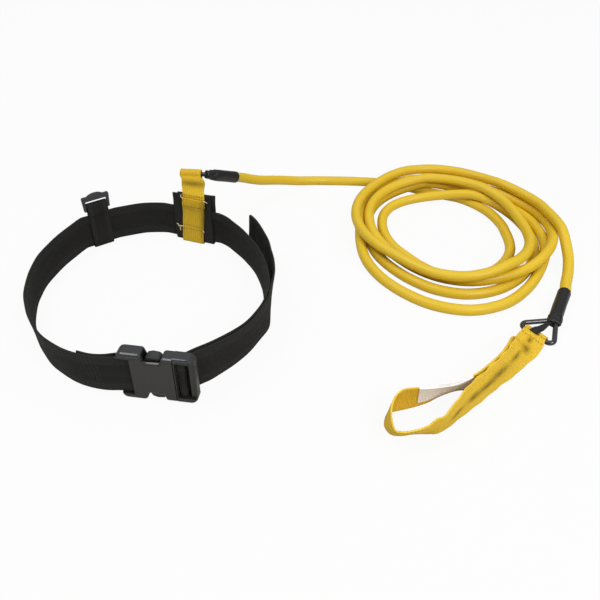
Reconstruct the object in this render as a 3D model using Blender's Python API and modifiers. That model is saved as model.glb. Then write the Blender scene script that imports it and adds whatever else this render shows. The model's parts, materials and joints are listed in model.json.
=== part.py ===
"""Swim resistance belt: a webbing waist belt with a side-release buckle, a strap keeper with a
ladder lock, a sliding tab, and a latex tube that is laid in a coil and ends in an anchor strap.

All lengths are in millimetres and are turned into metres where a mesh is made. The belt lies as a
standing band, X runs to the right along the buckle, Y runs away from the buckle, Z is up, and the
surface that everything stands on is Z = 0.
"""
import math

import bmesh
import bpy
import numpy as np
from mathutils import Matrix, Vector

MM = 0.001

# Clearances
FIT = 0.4            # between webbing and what it runs through
SEAT = 0.3           # between faces that touch on the real object

# Belt webbing
BELT_WIDTH = 38.1
BELT_THICK = 1.8
LAYER = BELT_THICK + FIT
HEM_LENGTH = 9.0

# Side-release buckle, in its own frame: X along the belt, Y into the ring, Z up from its middle
BUCKLE_X, BUCKLE_Y = -116.0, -123.4
BUCKLE_TURN = math.radians(-9.0)
BUCKLE_HEIGHT = 50.0
BUCKLE_DEPTH = 13.0
SOCKET_LEFT, SOCKET_RIGHT = -33.0, 14.6
SHOULDER_END = -11.5
NOTCH_LEFT, NOTCH_RIGHT = -9.0, 4.2
NOTCH_HALF = 17.0
RIM_HALF = 23.4
PLATE_WALL = 1.8
PLATE_LEFT = -21.5
CAVITY_LEFT = -12.4
CAVITY_HALF = 19.6
CAVITY_DEPTH = 8.2
BAR_LEFT, BAR_RIGHT = -21.0, -17.0
BAR_FRONT, BAR_BACK = -2.1, 2.1
INSERT_RIGHT = 32.6
INSERT_HALF = 24.2
INSERT_CORNER = 6.5
RAIL_DEPTH = 11.0
LADDER_FRONT, LADDER_BACK = -3.5, 3.0
SLOT_1 = (16.3, 18.9)
SLOT_2 = (21.6, 27.4)
MIDDLE_BAR_DEPTH = 3.0
RELEASE_TRAVEL = 30.0
PRONG_PIVOT_X, PRONG_PIVOT_Z = 12.0, 11.0
PRONG_HUB = 2.6
PRONG_DEPTH = 6.8
GUIDE_HALF = 2.2
GUIDE_TIP = -9.0

# Sliding tab: two webbing patches round the belt, and the yellow strap that holds the ring
SLIDER_X, SLIDER_Y = -115.6, 114.7
SLIDER_TURN = math.radians(-19.5)
SLIDER_TRAVEL = (-8.0, 4.0)
SLIDER_KNOTS = (-34.0, -32.0, 0.0, 28.0, 30.0)     # the belt is straight between the inner ones
SLIDER_BASE = 4.4                                  # height of the belt's lower edge there
PATCH_WIDTH = 45.0
PATCH_THICK = 1.6
PATCH_BOTTOM, PATCH_TOP = 2.0, 57.0
TAB_WIDTH = 25.4
TAB_THICK = 1.6
TAB_LOOP_WIDTH = 21.5

# Strap keeper with its ladder lock
KEEPER_X, KEEPER_Y = -217.0, 107.6
KEEPER_TURN = math.radians(34.0)
KEEPER_TRAVEL = 5.0
KEEPER_KNOTS = (-18.5, -16.8, 0.0, 16.8, 18.5)
KEEPER_BASE = 3.2
KEEPER_WIDTH = 22.0
KEEPER_THICK = 1.4
LOCK_BAR_Z = 51.7
LOCK_BAR_RADIUS = 1.7
LOCK_WIDTH = 30.0
LOCK_DEPTH = 3.2
LOCK_BOTTOM, LOCK_TOP = 46.0, 63.0
LOCK_SLOT_TOP = 57.6
LOCK_TILT = math.radians(25.0)

# Latex tube and the hardware at its two ends
TUBE_OD = 11.1
TUBE_R = TUBE_OD / 2
CUFF_R = 6.5
CUFF_BORE = TUBE_R + SEAT
CUFF_LENGTH = 55.0
NECK_LENGTH = 13.0
NECK_PAST_APEX = 4.4
NECK_DEPTH = 8.8
BELT_NECK_WIDTH, ANCHOR_NECK_WIDTH = 9.0, 14.0
GRIP_LENGTH = 25.0
PLUG_LENGTH = 8.0
PLUG_R = 5.3
WIRE_R = 2.4
RING_BASE, RING_SHARP_HEIGHT = 42.0, 30.6
RING_CORNER_R, RING_APEX_R = 4.5, 4.0

# Anchor strap
ANCHOR_WIDTH = 25.4
ANCHOR_FOLD_WIDTH = 23.0
ANCHOR_THICK = 1.6
LABEL_HEIGHT = 20.0
LABEL_THICK = 0.5

# Belt route seen from above, clockwise: X, Y, height of the lower edge, lean of that edge outwards
SEWN_END = [(-183.0, -113.6, 5.4, 2), (-171.5, -118.0, 5.8, 1)]
RING_LEFT = [
    (-161, -122, 5.95, 0), (-171, -120.6, 5.9, 1), (-183.6, -116.4, 5.4, 2), (-200, -106.6, 4.4, 4),
    (-216.7, -92.5, 3.2, 6), (-230.4, -75.3, 2.0, 6), (-243, -54, 1.0, 5), (-253.6, -27.8, 0.5, 3),
    (-259, 1, 0.3, 1), (-259.6, 26, 0.3, 0), (-256.4, 44, 0.6, 0), (-250, 64, 1.2, 0),
    (-241, 82.5, 2.4, 0),
]
RING_RIGHT = [
    (-186.5, 122.6, 3.9, 0), (-171, 126.6, 4.2, 0), (-154.8, 127, 4.4, 0),
]
RING_NEAR = [
    (-77.5, 96.2, 4.6, 0), (-67.8, 83.2, 4.9, 0), (-58, 69, 5.1, 0), (-49.5, 54, 5.2, 0),
    (-40.5, 33, 5.4, 0), (-34, 8, 5.6, 0), (-31.2, -18, 5.8, 0), (-32.5, -40, 5.95, 0),
    (-38.5, -57.5, 5.95, 0), (-47, -74, 5.95, 0), (-58, -88.5, 5.95, 0), (-70.5, -100.2, 5.95, 0),
]
TAIL = [
    (-68.6, -103.2, 5.95, 0), (-55.2, -91, 5.95, 0), (-44, -76, 5.95, 0), (-35.4, -59, 5.95, 0),
    (-29.4, -41, 5.95, 0), (-27.4, -19, 5.8, 0), (-25.6, -2, 5.7, 0), (-27.2, 17, 5.6, 0),
    (-29.6, 35, 5.5, 0), (-32.6, 51, 5.4, 0), (-37.2, 67, 5.4, 0), (-42.2, 80, 5.4, 0),
    (-47.4, 91.5, 5.4, 0), (-53, 100, 5.4, 0),
]

# Tube route: hand-chosen points of the lead, then the turns of the coil as reaches from its middle
LEAD = [(-49.5, 201.5, 32.5), (-25.5, 220.5, 20.6), (-1.0, 235.6, 11.0),
        (23.0, 243.4, 6.6), (34.5, 245.1, 5.65), (46.4, 245.0, 5.55)]
COIL_START = [(46.7, 245.0), (58.0, 244.6), (73.1, 243.6), (101.6, 239.7), (132.0, 229.6),
              (162.5, 213.9), (193.0, 193.1)]
COIL_END = [(280.2, 106.4, 29.0), (282.4, 84.5, 21.0), (281.9, 64.7, 11.0), (276.6, 44.5, 6.2),
            (269.0, 26.0, 6.0)]
COIL_MIDDLE = (165.5, 124.0)
COIL_STEP = 45.0
COIL_FIRST = 67.5
COIL_REACH = [   # far, far right, right, near right, near, near left, left, far left
    (None, None, 64.5, 76.0, 87.5, 71.0, 71.0, 80.0),
    (74.0, 79.0, 89.5, 101.5, 113.5, 97.5, 89.5, 96.5),
    (94.5, 92.5, 100.5, 113.5, 139.0, 118.0, 98.5, 107.5),
    (107.5, 102.5, 110.5, 109.5, 111.5, 86.5, 87.5, 93.5),
    (88.5, 80.0, 78.0, 87.5, 98.5, 92.5, 102.5, 107.5),
    (118.0, 105.5, 112.0, None, None, None, None, None),
]
LOOP_POINTS = 24
LAY_GAP = 1.1        # room that the strands are first laid with
LEAST_GAP = 0.6      # room that is kept once the curve is cut into chords
CHORD_PARTS = 6

# Near hardware: the ring's base bar, the way to its apex, and the sleeve that leaves the apex
ANCHOR_BAR = (217.9, -49.7)
ANCHOR_APEX_WAY = (0.8, 0.6)
ANCHOR_BAR_Z = ANCHOR_THICK + FIT + WIRE_R
RING_TO_APEX = RING_SHARP_HEIGHT - RING_APEX_R * (
    math.hypot(RING_BASE / 2, RING_SHARP_HEIGHT) / (RING_BASE / 2) - 1)
ANCHOR_APEX = (ANCHOR_BAR[0] + RING_TO_APEX * ANCHOR_APEX_WAY[0],
               ANCHOR_BAR[1] + RING_TO_APEX * ANCHOR_APEX_WAY[1], 6.6)
CUFF_WAY = (-0.46, -0.888, 0.0)
CUFF_MOUTH = tuple(a - (CUFF_LENGTH - NECK_PAST_APEX) * w for a, w in zip(ANCHOR_APEX, CUFF_WAY))

# Far hardware: the ring's side leg lies in the tab's loop, and the cuff leaves its apex
LOOP_MIDDLE = (-117.1, 148.6, 66.0)
LOOP_TURN = math.radians(-6.0)
LEG_IN_LOOP = 19.0   # from the ring's sharp apex to the middle of the loop, along the side leg
RING_SWUNG_BACK = (-0.15, 0.875, -0.46)
BELT_CUFF_WAY = (0.598, 0.704, -0.385)

# Anchor strap: middle of the webbing and the way from its floor edge to its raised edge
STRAP = [
    ((212.4, -57.6, 6.9), (-0.64, 0.76, 0.10)), ((205.4, -66.6, 5.9), (-0.675, 0.665, 0.31)),
    ((198.5, -76.2, 9.5), (-0.513, 0.535, 0.669)), ((181.0, -97.6, 12.3), (-0.315, 0.347, 0.883)),
    ((166.3, -111.9, 13.1), (-0.215, 0.244, 0.946)), ((152.5, -125.3, 13.2), (-0.20, 0.213, 0.956)),
    ((140.0, -137.2, 13.4), (-0.16, 0.18, 0.97)), ((129.2, -148.5, 13.6), (-0.065, 0.08, 0.995)),
    ((118.1, -159.7, 13.7), (0.011, -0.013, 1.0)), ((105.7, -168.8, 13.4), (0.056, -0.218, 0.974)),
    ((91.0, -173.5, 12.3), (0.0, -0.469, 0.883)), ((78.8, -171.5, 11.9), (-0.20, -0.42, 0.86)),
    ((70.3, -162.4, 12.2), (-0.40, -0.14, 0.90)), ((70.2, -150.2, 12.9), (-0.30, 0.02, 0.95)),
    ((76.6, -141.6, 13.5), (-0.115, 0.13, 0.985)), ((87.0, -138.6, 13.7), (-0.015, 0.05, 0.999)),
    ((102.5, -136.0, 13.6), (0.039, -0.097, 0.995)), ((118.1, -130.6, 13.1), (0.15, -0.27, 0.95)),
    ((133.1, -121.6, 12.6), (0.21, -0.33, 0.92)), ((145.1, -111.4, 13.3), (0.09, -0.225, 0.97)),
    ((158.9, -103.6, 13.7), (-0.01, 0.034, 0.999)), ((173.4, -95.4, 13.2), (-0.124, 0.245, 0.961)),
    ((186.1, -83.6, 12.0), (-0.31, 0.39, 0.866)), ((195.3, -72.2, 9.1), (-0.513, 0.535, 0.62)),
    ((202.6, -62.6, 3.2), (-0.66, 0.70, 0.12)),
]
LABEL_SPAN = (0.65, 0.785)


def material(name, colour, roughness, metallic=0.0):
    """A Principled material of one colour."""
    made = bpy.data.materials.new(name)
    made.use_nodes = True
    shader = made.node_tree.nodes["Principled BSDF"]
    shader.inputs["Base Color"].default_value = (*colour, 1.0)
    shader.inputs["Roughness"].default_value = roughness
    shader.inputs["Metallic"].default_value = metallic
    made.diffuse_color = (*colour, 1.0)
    return made


def collection(name):
    made = bpy.data.collections.new(name)
    bpy.context.scene.collection.children.link(made)
    return made


def frame_empty(name, place, turn=0.0, parent=None):
    """An empty that carries a group of pieces, at a joint or at the middle of an assembly."""
    made = bpy.data.objects.new(name, None)
    made.empty_display_size = 0.01
    made.location = Vector(place) * MM
    made.rotation_euler = (0.0, 0.0, turn)
    made.parent = parent
    PARTS.objects.link(made)
    return made


def add(name, mesh, finish, parent, group=None):
    """Put a mesh in the model under its frame."""
    made = bpy.data.objects.new(name, mesh)
    mesh.materials.append(finish)
    made.parent = parent
    (group or PARTS).objects.link(made)
    return made


def smooth(mesh, degrees=35.0):
    mesh.shade_smooth()
    mesh.set_sharp_from_angle(angle=math.radians(degrees))


def spline(knots, step, width=3):
    """Centripetal curve through the knots, cut about every step. Knots may carry extra values."""
    pts = np.array(knots, float)
    pts = np.vstack([2 * pts[0] - pts[1], pts, 2 * pts[-1] - pts[-2]])
    gaps = np.linalg.norm(np.diff(pts[:, :width], axis=0), axis=1)
    t = np.concatenate([[0.0], np.cumsum(np.sqrt(gaps))])
    out = []
    for i in range(1, len(pts) - 2):
        p0, p1, p2, p3 = pts[i - 1:i + 3]
        t0, t1, t2, t3 = t[i - 1:i + 3]
        count = max(1, round(gaps[i] / step))
        for u in np.linspace(t1, t2, count, endpoint=False):
            a1 = ((t1 - u) * p0 + (u - t0) * p1) / (t1 - t0)
            a2 = ((t2 - u) * p1 + (u - t1) * p2) / (t2 - t1)
            a3 = ((t3 - u) * p2 + (u - t2) * p3) / (t3 - t2)
            b1 = ((t2 - u) * a1 + (u - t0) * a2) / (t2 - t0)
            b2 = ((t3 - u) * a2 + (u - t1) * a3) / (t3 - t1)
            out.append(((t2 - u) * b1 + (u - t1) * b2) / (t2 - t1))
    out.append(pts[-2])
    return np.array(out)


def ribbon_mesh(name, middles, ways, widths, thick):
    """Webbing: a strip of faces across the width at each station, thickened both ways."""
    mesh = bpy.data.meshes.new(name)
    bm = bmesh.new()
    rows = []
    for middle, way, width in zip(middles, ways, widths):
        way = Vector(way).normalized() * (width / 2)
        rows.append([bm.verts.new((Vector(middle) + side * way) * MM) for side in (-1, 1)])
    for low, high in zip(rows[:-1], rows[1:]):
        bm.faces.new((low[0], high[0], high[1], low[1]))
    bmesh.ops.recalc_face_normals(bm, faces=bm.faces)
    bm.to_mesh(mesh)
    bm.free()
    scratch = bpy.data.objects.new(name, mesh)
    PARTS.objects.link(scratch)
    wall = scratch.modifiers.new("wall", "SOLIDIFY")
    wall.thickness = thick * MM
    wall.offset = 0.0
    wall.use_even_offset = True
    return baked(scratch)


def baked(source):
    """The evaluated mesh of a helper object, which is then removed."""
    bpy.context.view_layer.update()
    graph = bpy.context.evaluated_depsgraph_get()
    mesh = bpy.data.meshes.new_from_object(source.evaluated_get(graph))
    bm = bmesh.new()
    bm.from_mesh(mesh)
    bmesh.ops.remove_doubles(bm, verts=bm.verts, dist=0.00001)
    bmesh.ops.recalc_face_normals(bm, faces=bm.faces)
    bm.to_mesh(mesh)
    bm.free()
    name = source.name
    mesh.materials.clear()
    bpy.data.objects.remove(source)
    mesh.name = name
    return mesh


def tube_mesh(name, points, radius, detail=2, cyclic=False):
    """A round wire or tube through the points, 2 * detail + 4 sides."""
    curve = bpy.data.curves.new(name, "CURVE")
    curve.dimensions = "3D"
    curve.bevel_depth = radius * MM
    curve.bevel_resolution = detail
    curve.use_fill_caps = True
    run = curve.splines.new("POLY")
    run.points.add(len(points) - 1)
    for slot, point in zip(run.points, points):
        slot.co = (*(Vector(point) * MM), 1.0)
    run.use_cyclic_u = cyclic
    scratch = bpy.data.objects.new(name, curve)
    PARTS.objects.link(scratch)
    mesh = baked(scratch)
    smooth(mesh, 50.0)
    return mesh


def plate_mesh(name, outlines, depth, middle=0.0):
    """Flat outlines in X and Z, the first solid and the others holes, given a depth along Y."""
    mesh = bpy.data.meshes.new(name)
    bm = bmesh.new()
    edges = []
    for outline in outlines:
        ring = [bm.verts.new(Vector((x, middle - depth / 2, z)) * MM) for x, z in outline]
        edges += [bm.edges.new(pair) for pair in zip(ring, ring[1:] + ring[:1])]
    if len(outlines) == 1:
        faces = [bm.faces.new(ring)]
    else:
        filled = bmesh.ops.triangle_fill(bm, edges=edges, use_dissolve=False)
        faces = [f for f in filled["geom"] if isinstance(f, bmesh.types.BMFace)]
    raised = bmesh.ops.extrude_face_region(bm, geom=faces)
    moved = [v for v in raised["geom"] if isinstance(v, bmesh.types.BMVert)]
    bmesh.ops.translate(bm, vec=(0.0, depth * MM, 0.0), verts=moved)
    bmesh.ops.recalc_face_normals(bm, faces=bm.faces)
    bm.to_mesh(mesh)
    bm.free()
    return mesh


def box_mesh(name, low, high):
    """A box between two corners."""
    mesh = bpy.data.meshes.new(name)
    bm = bmesh.new()
    bmesh.ops.create_cube(bm, size=1.0)
    size = [(b - a) * MM for a, b in zip(low, high)]
    bmesh.ops.scale(bm, vec=size, verts=bm.verts)
    bmesh.ops.translate(bm, vec=[(a + b) / 2 * MM for a, b in zip(low, high)], verts=bm.verts)
    bm.to_mesh(mesh)
    bm.free()
    return mesh


def rounded(points, radii, steps=4):
    """An outline whose corners are turned into arcs of the given radii."""
    out = []
    count = len(points)
    for i, (corner, radius) in enumerate(zip(points, radii)):
        corner = Vector(corner)
        before = (Vector(points[i - 1]) - corner).normalized()
        after = (Vector(points[(i + 1) % count]) - corner).normalized()
        if radius <= 0.0:
            out.append(corner)
            continue
        half = before.angle(after) / 2
        reach = radius / math.tan(half)
        middle = corner + (before + after).normalized() * (radius / math.sin(half))
        start = corner + before * reach - middle
        end = corner + after * reach - middle
        for k in range(steps + 1):
            out.append(middle + radius * start.slerp(end, k / steps))
    return out


def boolean(target, mesh, operation, name):
    """Cut or join one helper solid, which stays with the cutters."""
    tool = bpy.data.objects.new(name, mesh)
    tool.parent = target.parent
    tool.hide_render = True
    tool.display_type = "WIRE"
    CUTTERS.objects.link(tool)
    step = target.modifiers.new(name, "BOOLEAN")
    step.operation = operation
    step.object = tool
    step.solver = "EXACT"


def bevelled(mesh, width, segments=2, angle=40.0, plain_x=None):
    """Round the sharp edges of a mesh, but not those in a plane of constant X."""
    bm = bmesh.new()
    bm.from_mesh(mesh)
    sharp = [e for e in bm.edges if len(e.link_faces) == 2
             and e.calc_face_angle(0.0) > math.radians(angle)]
    if plain_x is not None:
        sharp = [e for e in sharp if any(abs(v.co.x / MM - plain_x) > 0.01 for v in e.verts)]
    bmesh.ops.bevel(bm, geom=sharp, offset=width * MM, offset_type="OFFSET", affect="EDGES",
                    segments=segments, profile=0.5, material=-1)
    bm.to_mesh(mesh)
    bm.free()
    return mesh


def to_plan(x, y):
    """A point of the buckle's own frame, seen from above."""
    c, s = math.cos(BUCKLE_TURN), math.sin(BUCKLE_TURN)
    return BUCKLE_X + c * x - s * y, BUCKLE_Y + s * x + c * y


def on_line(x, y, turn, along):
    return x + along * math.cos(turn), y + along * math.sin(turn)


def belt_route():
    """The one piece of webbing: sewn end, socket bar, round the ring, insert, and the free tail."""
    base = BUCKLE_HEIGHT / 2 - BELT_WIDTH / 2
    front = -BUCKLE_DEPTH / 2 + PLATE_WALL + FIT + BELT_THICK / 2
    back = BAR_BACK + FIT + BELT_THICK / 2
    wrap = FIT + BELT_THICK / 2
    diagonal = wrap * math.sqrt(0.5)
    turn_x = BAR_RIGHT + wrap
    socket = [
        (-45.0, front + 0.2), (-33.0, 0.9), (-25.5, back - 0.1), (BAR_LEFT, back),
        (BAR_RIGHT, back), (BAR_RIGHT + diagonal, BAR_BACK + diagonal), (turn_x, BAR_BACK),
        (turn_x, BAR_FRONT), (BAR_RIGHT + diagonal, BAR_FRONT - diagonal), (BAR_RIGHT, front),
        (PLATE_LEFT, front), (-33.0, front - 0.8),
    ]
    slot_1 = (SLOT_1[0] + SLOT_1[1]) / 2
    slot_2 = SLOT_2[0] + wrap
    trim = -MIDDLE_BAR_DEPTH / 2
    ladder = [
        (34.5, 22.3), (27.9, 16.2), (22.4, 10.6), (19.2, 6.6), (slot_1, 2.4), (slot_1, trim),
        (SLOT_1[1] - diagonal, trim - diagonal), (SLOT_1[1], trim - wrap),
        (SLOT_2[0], trim - wrap), (SLOT_2[0] + diagonal, trim - diagonal), (slot_2, trim),
        (slot_2 + 0.1, 2.0), (slot_2 + 1.3, 5.2), (27.0, 10.0), (30.3, 13.2), (36.6, 19.0),
    ]
    knots = [tuple(k) for k in SEWN_END]
    knots += [(*to_plan(x, y), base, 0.0) for x, y in socket]
    knots += RING_LEFT
    for along in KEEPER_KNOTS:
        knots.append((*on_line(KEEPER_X, KEEPER_Y, KEEPER_TURN, along), KEEPER_BASE, 0.0))
    knots += RING_RIGHT
    for along in SLIDER_KNOTS:
        knots.append((*on_line(SLIDER_X, SLIDER_Y, SLIDER_TURN, along), SLIDER_BASE, 0.0))
    knots += RING_NEAR
    knots += [(*to_plan(x, y), base, 0.0) for x, y in ladder]
    knots += TAIL
    return spline(knots, 6.5, width=2)


def belt_webbing():
    route = belt_route()
    way = np.gradient(route[:, :2], axis=0)
    way /= np.linalg.norm(way, axis=1)[:, None]
    outward = np.stack([-way[:, 1], way[:, 0]], axis=1)
    lean = np.radians(route[:, 3])
    ups, middles = [], []
    for row, out, tilt in zip(route, outward, lean):
        up = Vector((-math.sin(tilt) * out[0], -math.sin(tilt) * out[1], math.cos(tilt)))
        ups.append(up)
        middles.append(Vector((row[0], row[1], row[2] + BELT_WIDTH / 2)))
    mesh = ribbon_mesh("belt_webbing", middles, ups, [BELT_WIDTH] * len(ups), BELT_THICK)
    return add("belt_webbing", mesh, BLACK_WEBBING, ROOT)


def buckle_socket():
    """The female half: a shell with two shoulders, side windows, a pocket and a webbing bar."""
    half = BUCKLE_HEIGHT / 2
    upper = [(SOCKET_LEFT, half), (SHOULDER_END, half), (NOTCH_LEFT, NOTCH_HALF),
             (NOTCH_RIGHT, NOTCH_HALF + 0.8), (NOTCH_RIGHT + 1.2, RIM_HALF),
             (SOCKET_RIGHT, RIM_HALF)]
    radii = [5.0, 3.0, 2.0, 1.2, 2.4, 0.0]
    outline = upper + [(x, -z) for x, z in reversed(upper)]
    body = plate_mesh("buckle_socket", [rounded(outline, radii + radii[::-1], 3)], BUCKLE_DEPTH)
    bevelled(body, 2.0, 2, 50.0, SOCKET_RIGHT)
    socket = add("buckle_socket", body, BLACK_PLASTIC, BUCKLE)
    slot = BELT_WIDTH / 2 + FIT + 0.6
    depth = BUCKLE_DEPTH
    web_right = BAR_RIGHT + 2 * FIT + BELT_THICK
    back_of_plate = -BUCKLE_DEPTH / 2 + PLATE_WALL
    boolean(socket, box_mesh("web_mouth", (SOCKET_LEFT - 5, -depth, -slot), (PLATE_LEFT, depth, slot)),
            "DIFFERENCE", "web_mouth")
    boolean(socket, box_mesh("web_pocket", (PLATE_LEFT - 1, back_of_plate, -slot),
                             (web_right, depth, slot)), "DIFFERENCE", "web_pocket")
    boolean(socket, box_mesh("prong_cavity", (CAVITY_LEFT, -CAVITY_DEPTH / 2, -CAVITY_HALF),
                             (SOCKET_RIGHT + 5, CAVITY_DEPTH / 2, CAVITY_HALF)),
            "DIFFERENCE", "prong_cavity")
    for side, name in ((1, "upper_window"), (-1, "lower_window")):
        window = [(CAVITY_LEFT, side * 12.0), (CAVITY_LEFT, side * 20.5), (-9.9, side * 30.0),
                  (NOTCH_RIGHT + 0.9, side * 30.0), (NOTCH_RIGHT + 0.9, side * 12.0)]
        boolean(socket, plate_mesh(name, [window], CAVITY_DEPTH), "DIFFERENCE", name)
    boolean(socket, box_mesh("web_bar", (BAR_LEFT, BAR_FRONT, -slot - 1), (BAR_RIGHT, BAR_BACK, slot + 1)),
            "UNION", "web_bar")
    return socket


def buckle_insert():
    """The male half: side rails, a ladder of bars, a block that enters the socket, and a guide."""
    half = INSERT_HALF
    left = SOCKET_RIGHT + SEAT
    slot = BELT_WIDTH / 2 + FIT
    outline = [(left, half), (INSERT_RIGHT, half), (INSERT_RIGHT, -half), (left, -half)]
    outer = rounded(outline, [0.0, INSERT_CORNER, INSERT_CORNER, 0.0], 4)
    block = bevelled(plate_mesh("buckle_insert", [outer], RAIL_DEPTH), 1.2, 2, 50.0, left)
    insert = add("buckle_insert", block, BLACK_PLASTIC, INSERT)
    deep = RAIL_DEPTH
    trim = MIDDLE_BAR_DEPTH / 2
    cuts = [
        ("ladder_front", (left + 1.0, -deep, -slot), (INSERT_RIGHT + 5, LADDER_FRONT, slot)),
        ("ladder_back", (left + 1.0, LADDER_BACK, -slot), (INSERT_RIGHT + 5, deep, slot)),
        ("ladder_slot_1", (SLOT_1[0], -deep, -slot + 0.1), (SLOT_1[1], deep, slot - 0.1)),
        ("ladder_slot_2", (SLOT_2[0], -deep, -slot + 0.1), (SLOT_2[1], deep, slot - 0.1)),
        ("bar_front", (SLOT_1[1] - 1, -deep, -slot + 0.2), (SLOT_2[0] + 1, -trim, slot - 0.2)),
        ("bar_back", (SLOT_1[1] - 1, trim, -slot + 0.2), (SLOT_2[0] + 1, deep, slot - 0.2)),
    ]
    for name, low, high in cuts:
        boolean(insert, box_mesh(name, low, high), "DIFFERENCE", name)
    inside = CAVITY_HALF - FIT
    tongue = CAVITY_DEPTH / 2 - FIT
    hub = PRONG_HUB + SEAT
    boolean(insert, box_mesh("entry_block", (PRONG_PIVOT_X - 4.5, -tongue, -inside),
                             (left + 0.8, tongue, inside)), "UNION", "entry_block")
    boolean(insert, box_mesh("guide", (GUIDE_TIP, -tongue + 0.6, -GUIDE_HALF),
                             (PRONG_PIVOT_X, tongue - 0.6, GUIDE_HALF)), "UNION", "guide")
    for side, name in ((1, "upper_seat"), (-1, "lower_seat")):
        floor = GUIDE_HALF + 1.6
        seat = [(PRONG_PIVOT_X - 5.5, side * floor), (PRONG_PIVOT_X - 0.6, side * floor)]
        for k in range(7):
            angle = math.radians(-60 + 25 * k)
            seat.append((PRONG_PIVOT_X + hub * math.cos(angle),
                         side * (PRONG_PIVOT_Z + hub * math.sin(angle))))
        seat.append((PRONG_PIVOT_X - 5.5, side * 25.0))
        boolean(insert, plate_mesh(name, [seat], CAVITY_DEPTH), "DIFFERENCE", name)
    return insert


def prong(name, side, parent):
    """A springy arm of the insert, in the frame of its root."""
    px, pz = PRONG_PIVOT_X, PRONG_PIVOT_Z
    top = [(px - 0.6, pz + 2.4), (7.0, 17.0), (NOTCH_RIGHT + 0.5, 18.4), (NOTCH_RIGHT + 0.3, 21.8),
           (2.6, 23.4), (-2.6, 24.0), (-7.2, 22.6), (-9.4, 18.4), (-10.2, 14.4), (-8.0, 12.6),
           (-2.0, 15.2), (3.4, 12.8), (7.6, 9.8), (px - 2.0, pz - 1.6)]
    radii = [0, 0.6, 0.5, 0.7, 1.0, 3.0, 2.0, 1.0, 1.5, 1.5, 4.0, 3.0, 2.0, 0]
    hub = [(px + PRONG_HUB * math.cos(a), pz + PRONG_HUB * math.sin(a))
           for a in (math.radians(d) for d in (-60, -30, 0, 30, 60, 90))]
    outline = [tuple(p) for p in rounded(top, radii, 2)] + hub
    outline = [(x - px, side * (z - pz)) for x, z in outline]
    if side > 0:
        outline.reverse()
    mesh = bevelled(plate_mesh(name, [outline], PRONG_DEPTH), 0.5, 1, 60.0)
    smooth(mesh)
    return add(name, mesh, BLACK_PLASTIC, parent)


def patch(name, side):
    """One webbing patch of the slider, joggled in above and below the belt where it is sewn."""
    spread = BELT_THICK / 2 + FIT + PATCH_THICK / 2
    sewn = SEAT / 2 + PATCH_THICK / 2
    top = SLIDER_BASE + BELT_WIDTH
    profile = [(sewn, PATCH_BOTTOM), (sewn + 0.1, PATCH_BOTTOM + 0.7), (spread, SLIDER_BASE - 0.9),
               (spread, SLIDER_BASE + BELT_WIDTH / 2), (spread, top + 1.0), (spread - 0.5, top + 4.0),
               (sewn, top + 9.0), (sewn, PATCH_TOP - (0.0 if side < 0 else 1.0))]
    middles = [Vector((0.0, side * y, z)) for y, z in profile]
    ways = [Vector((1.0, 0.0, 0.0))] * len(middles)
    mesh = ribbon_mesh(name, middles, ways, [PATCH_WIDTH] * len(middles), PATCH_THICK)
    return add(name, mesh, BLACK_WEBBING, SLIDER)


def tab_strap():
    """Yellow strap: down the inner face, under the patches, up the back, round the ring's leg."""
    spread = BELT_THICK / 2 + 2 * FIT + PATCH_THICK + TAB_THICK / 2
    bottom = TAB_THICK / 2
    loop = Vector(LOOP_MIDDLE)
    local = Matrix.Rotation(-SLIDER_TURN, 3, "Z") @ (loop - Vector((SLIDER_X, SLIDER_Y, 0.0)))
    reach = WIRE_R + 1.2 + TAB_THICK / 2
    twist = LOOP_TURN - SLIDER_TURN
    along = (math.cos(twist), math.sin(twist), 0.0)
    square = (1.0, 0.0, 0.0)
    shift = -3.4
    body = [(-spread, 47.5), (-spread, 44.0), (-spread, 24.0), (-spread, 4.0), (-spread + 0.6, 1.6),
            (-spread + 2.0, bottom), (0.0, bottom), (spread - 2.0, bottom), (spread - 0.6, 1.6),
            (spread, 4.0), (spread, 24.0), (spread, 50.0)]
    middles = [Vector((shift, y, z)) for y, z in body]
    ways = [square] * len(body)
    widths = [TAB_WIDTH] * len(body)
    for blend, y, z in ((0.35, spread + 7.0, 57.2), (0.7, local.y - 11.5, 60.4)):
        middles.append(Vector((shift + blend * (local.x - shift), y, z)))
        ways.append(tuple(Vector(square).lerp(Vector(along), blend)))
        widths.append(TAB_WIDTH)
    side = Vector((-along[1], along[0], 0.0))
    for degrees in (-60, -25, 10, 45, 80, 115, 150, 185):
        a = math.radians(degrees)
        middles.append(local + reach * math.cos(a) * side + Vector((0.0, 0.0, reach * math.sin(a))))
        ways.append(along)
        widths.append(TAB_LOOP_WIDTH)
    for blend, y, z in ((0.7, local.y - 13.2, 64.6), (0.35, 4.5, 61.6), (0.0, -2.6, 59.0),
                        (0.0, -spread + 0.2, 54.0), (0.0, -spread, 51.0), (0.0, -spread, 48.2)):
        middles.append(Vector((shift + blend * (local.x - shift), y, z)))
        ways.append(tuple(Vector(square).lerp(Vector(along), blend)))
        widths.append(TAB_WIDTH)
    mesh = ribbon_mesh("tab_strap", middles, ways, widths, TAB_THICK)
    return add("tab_strap", mesh, YELLOW_WEBBING, SLIDER)


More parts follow.
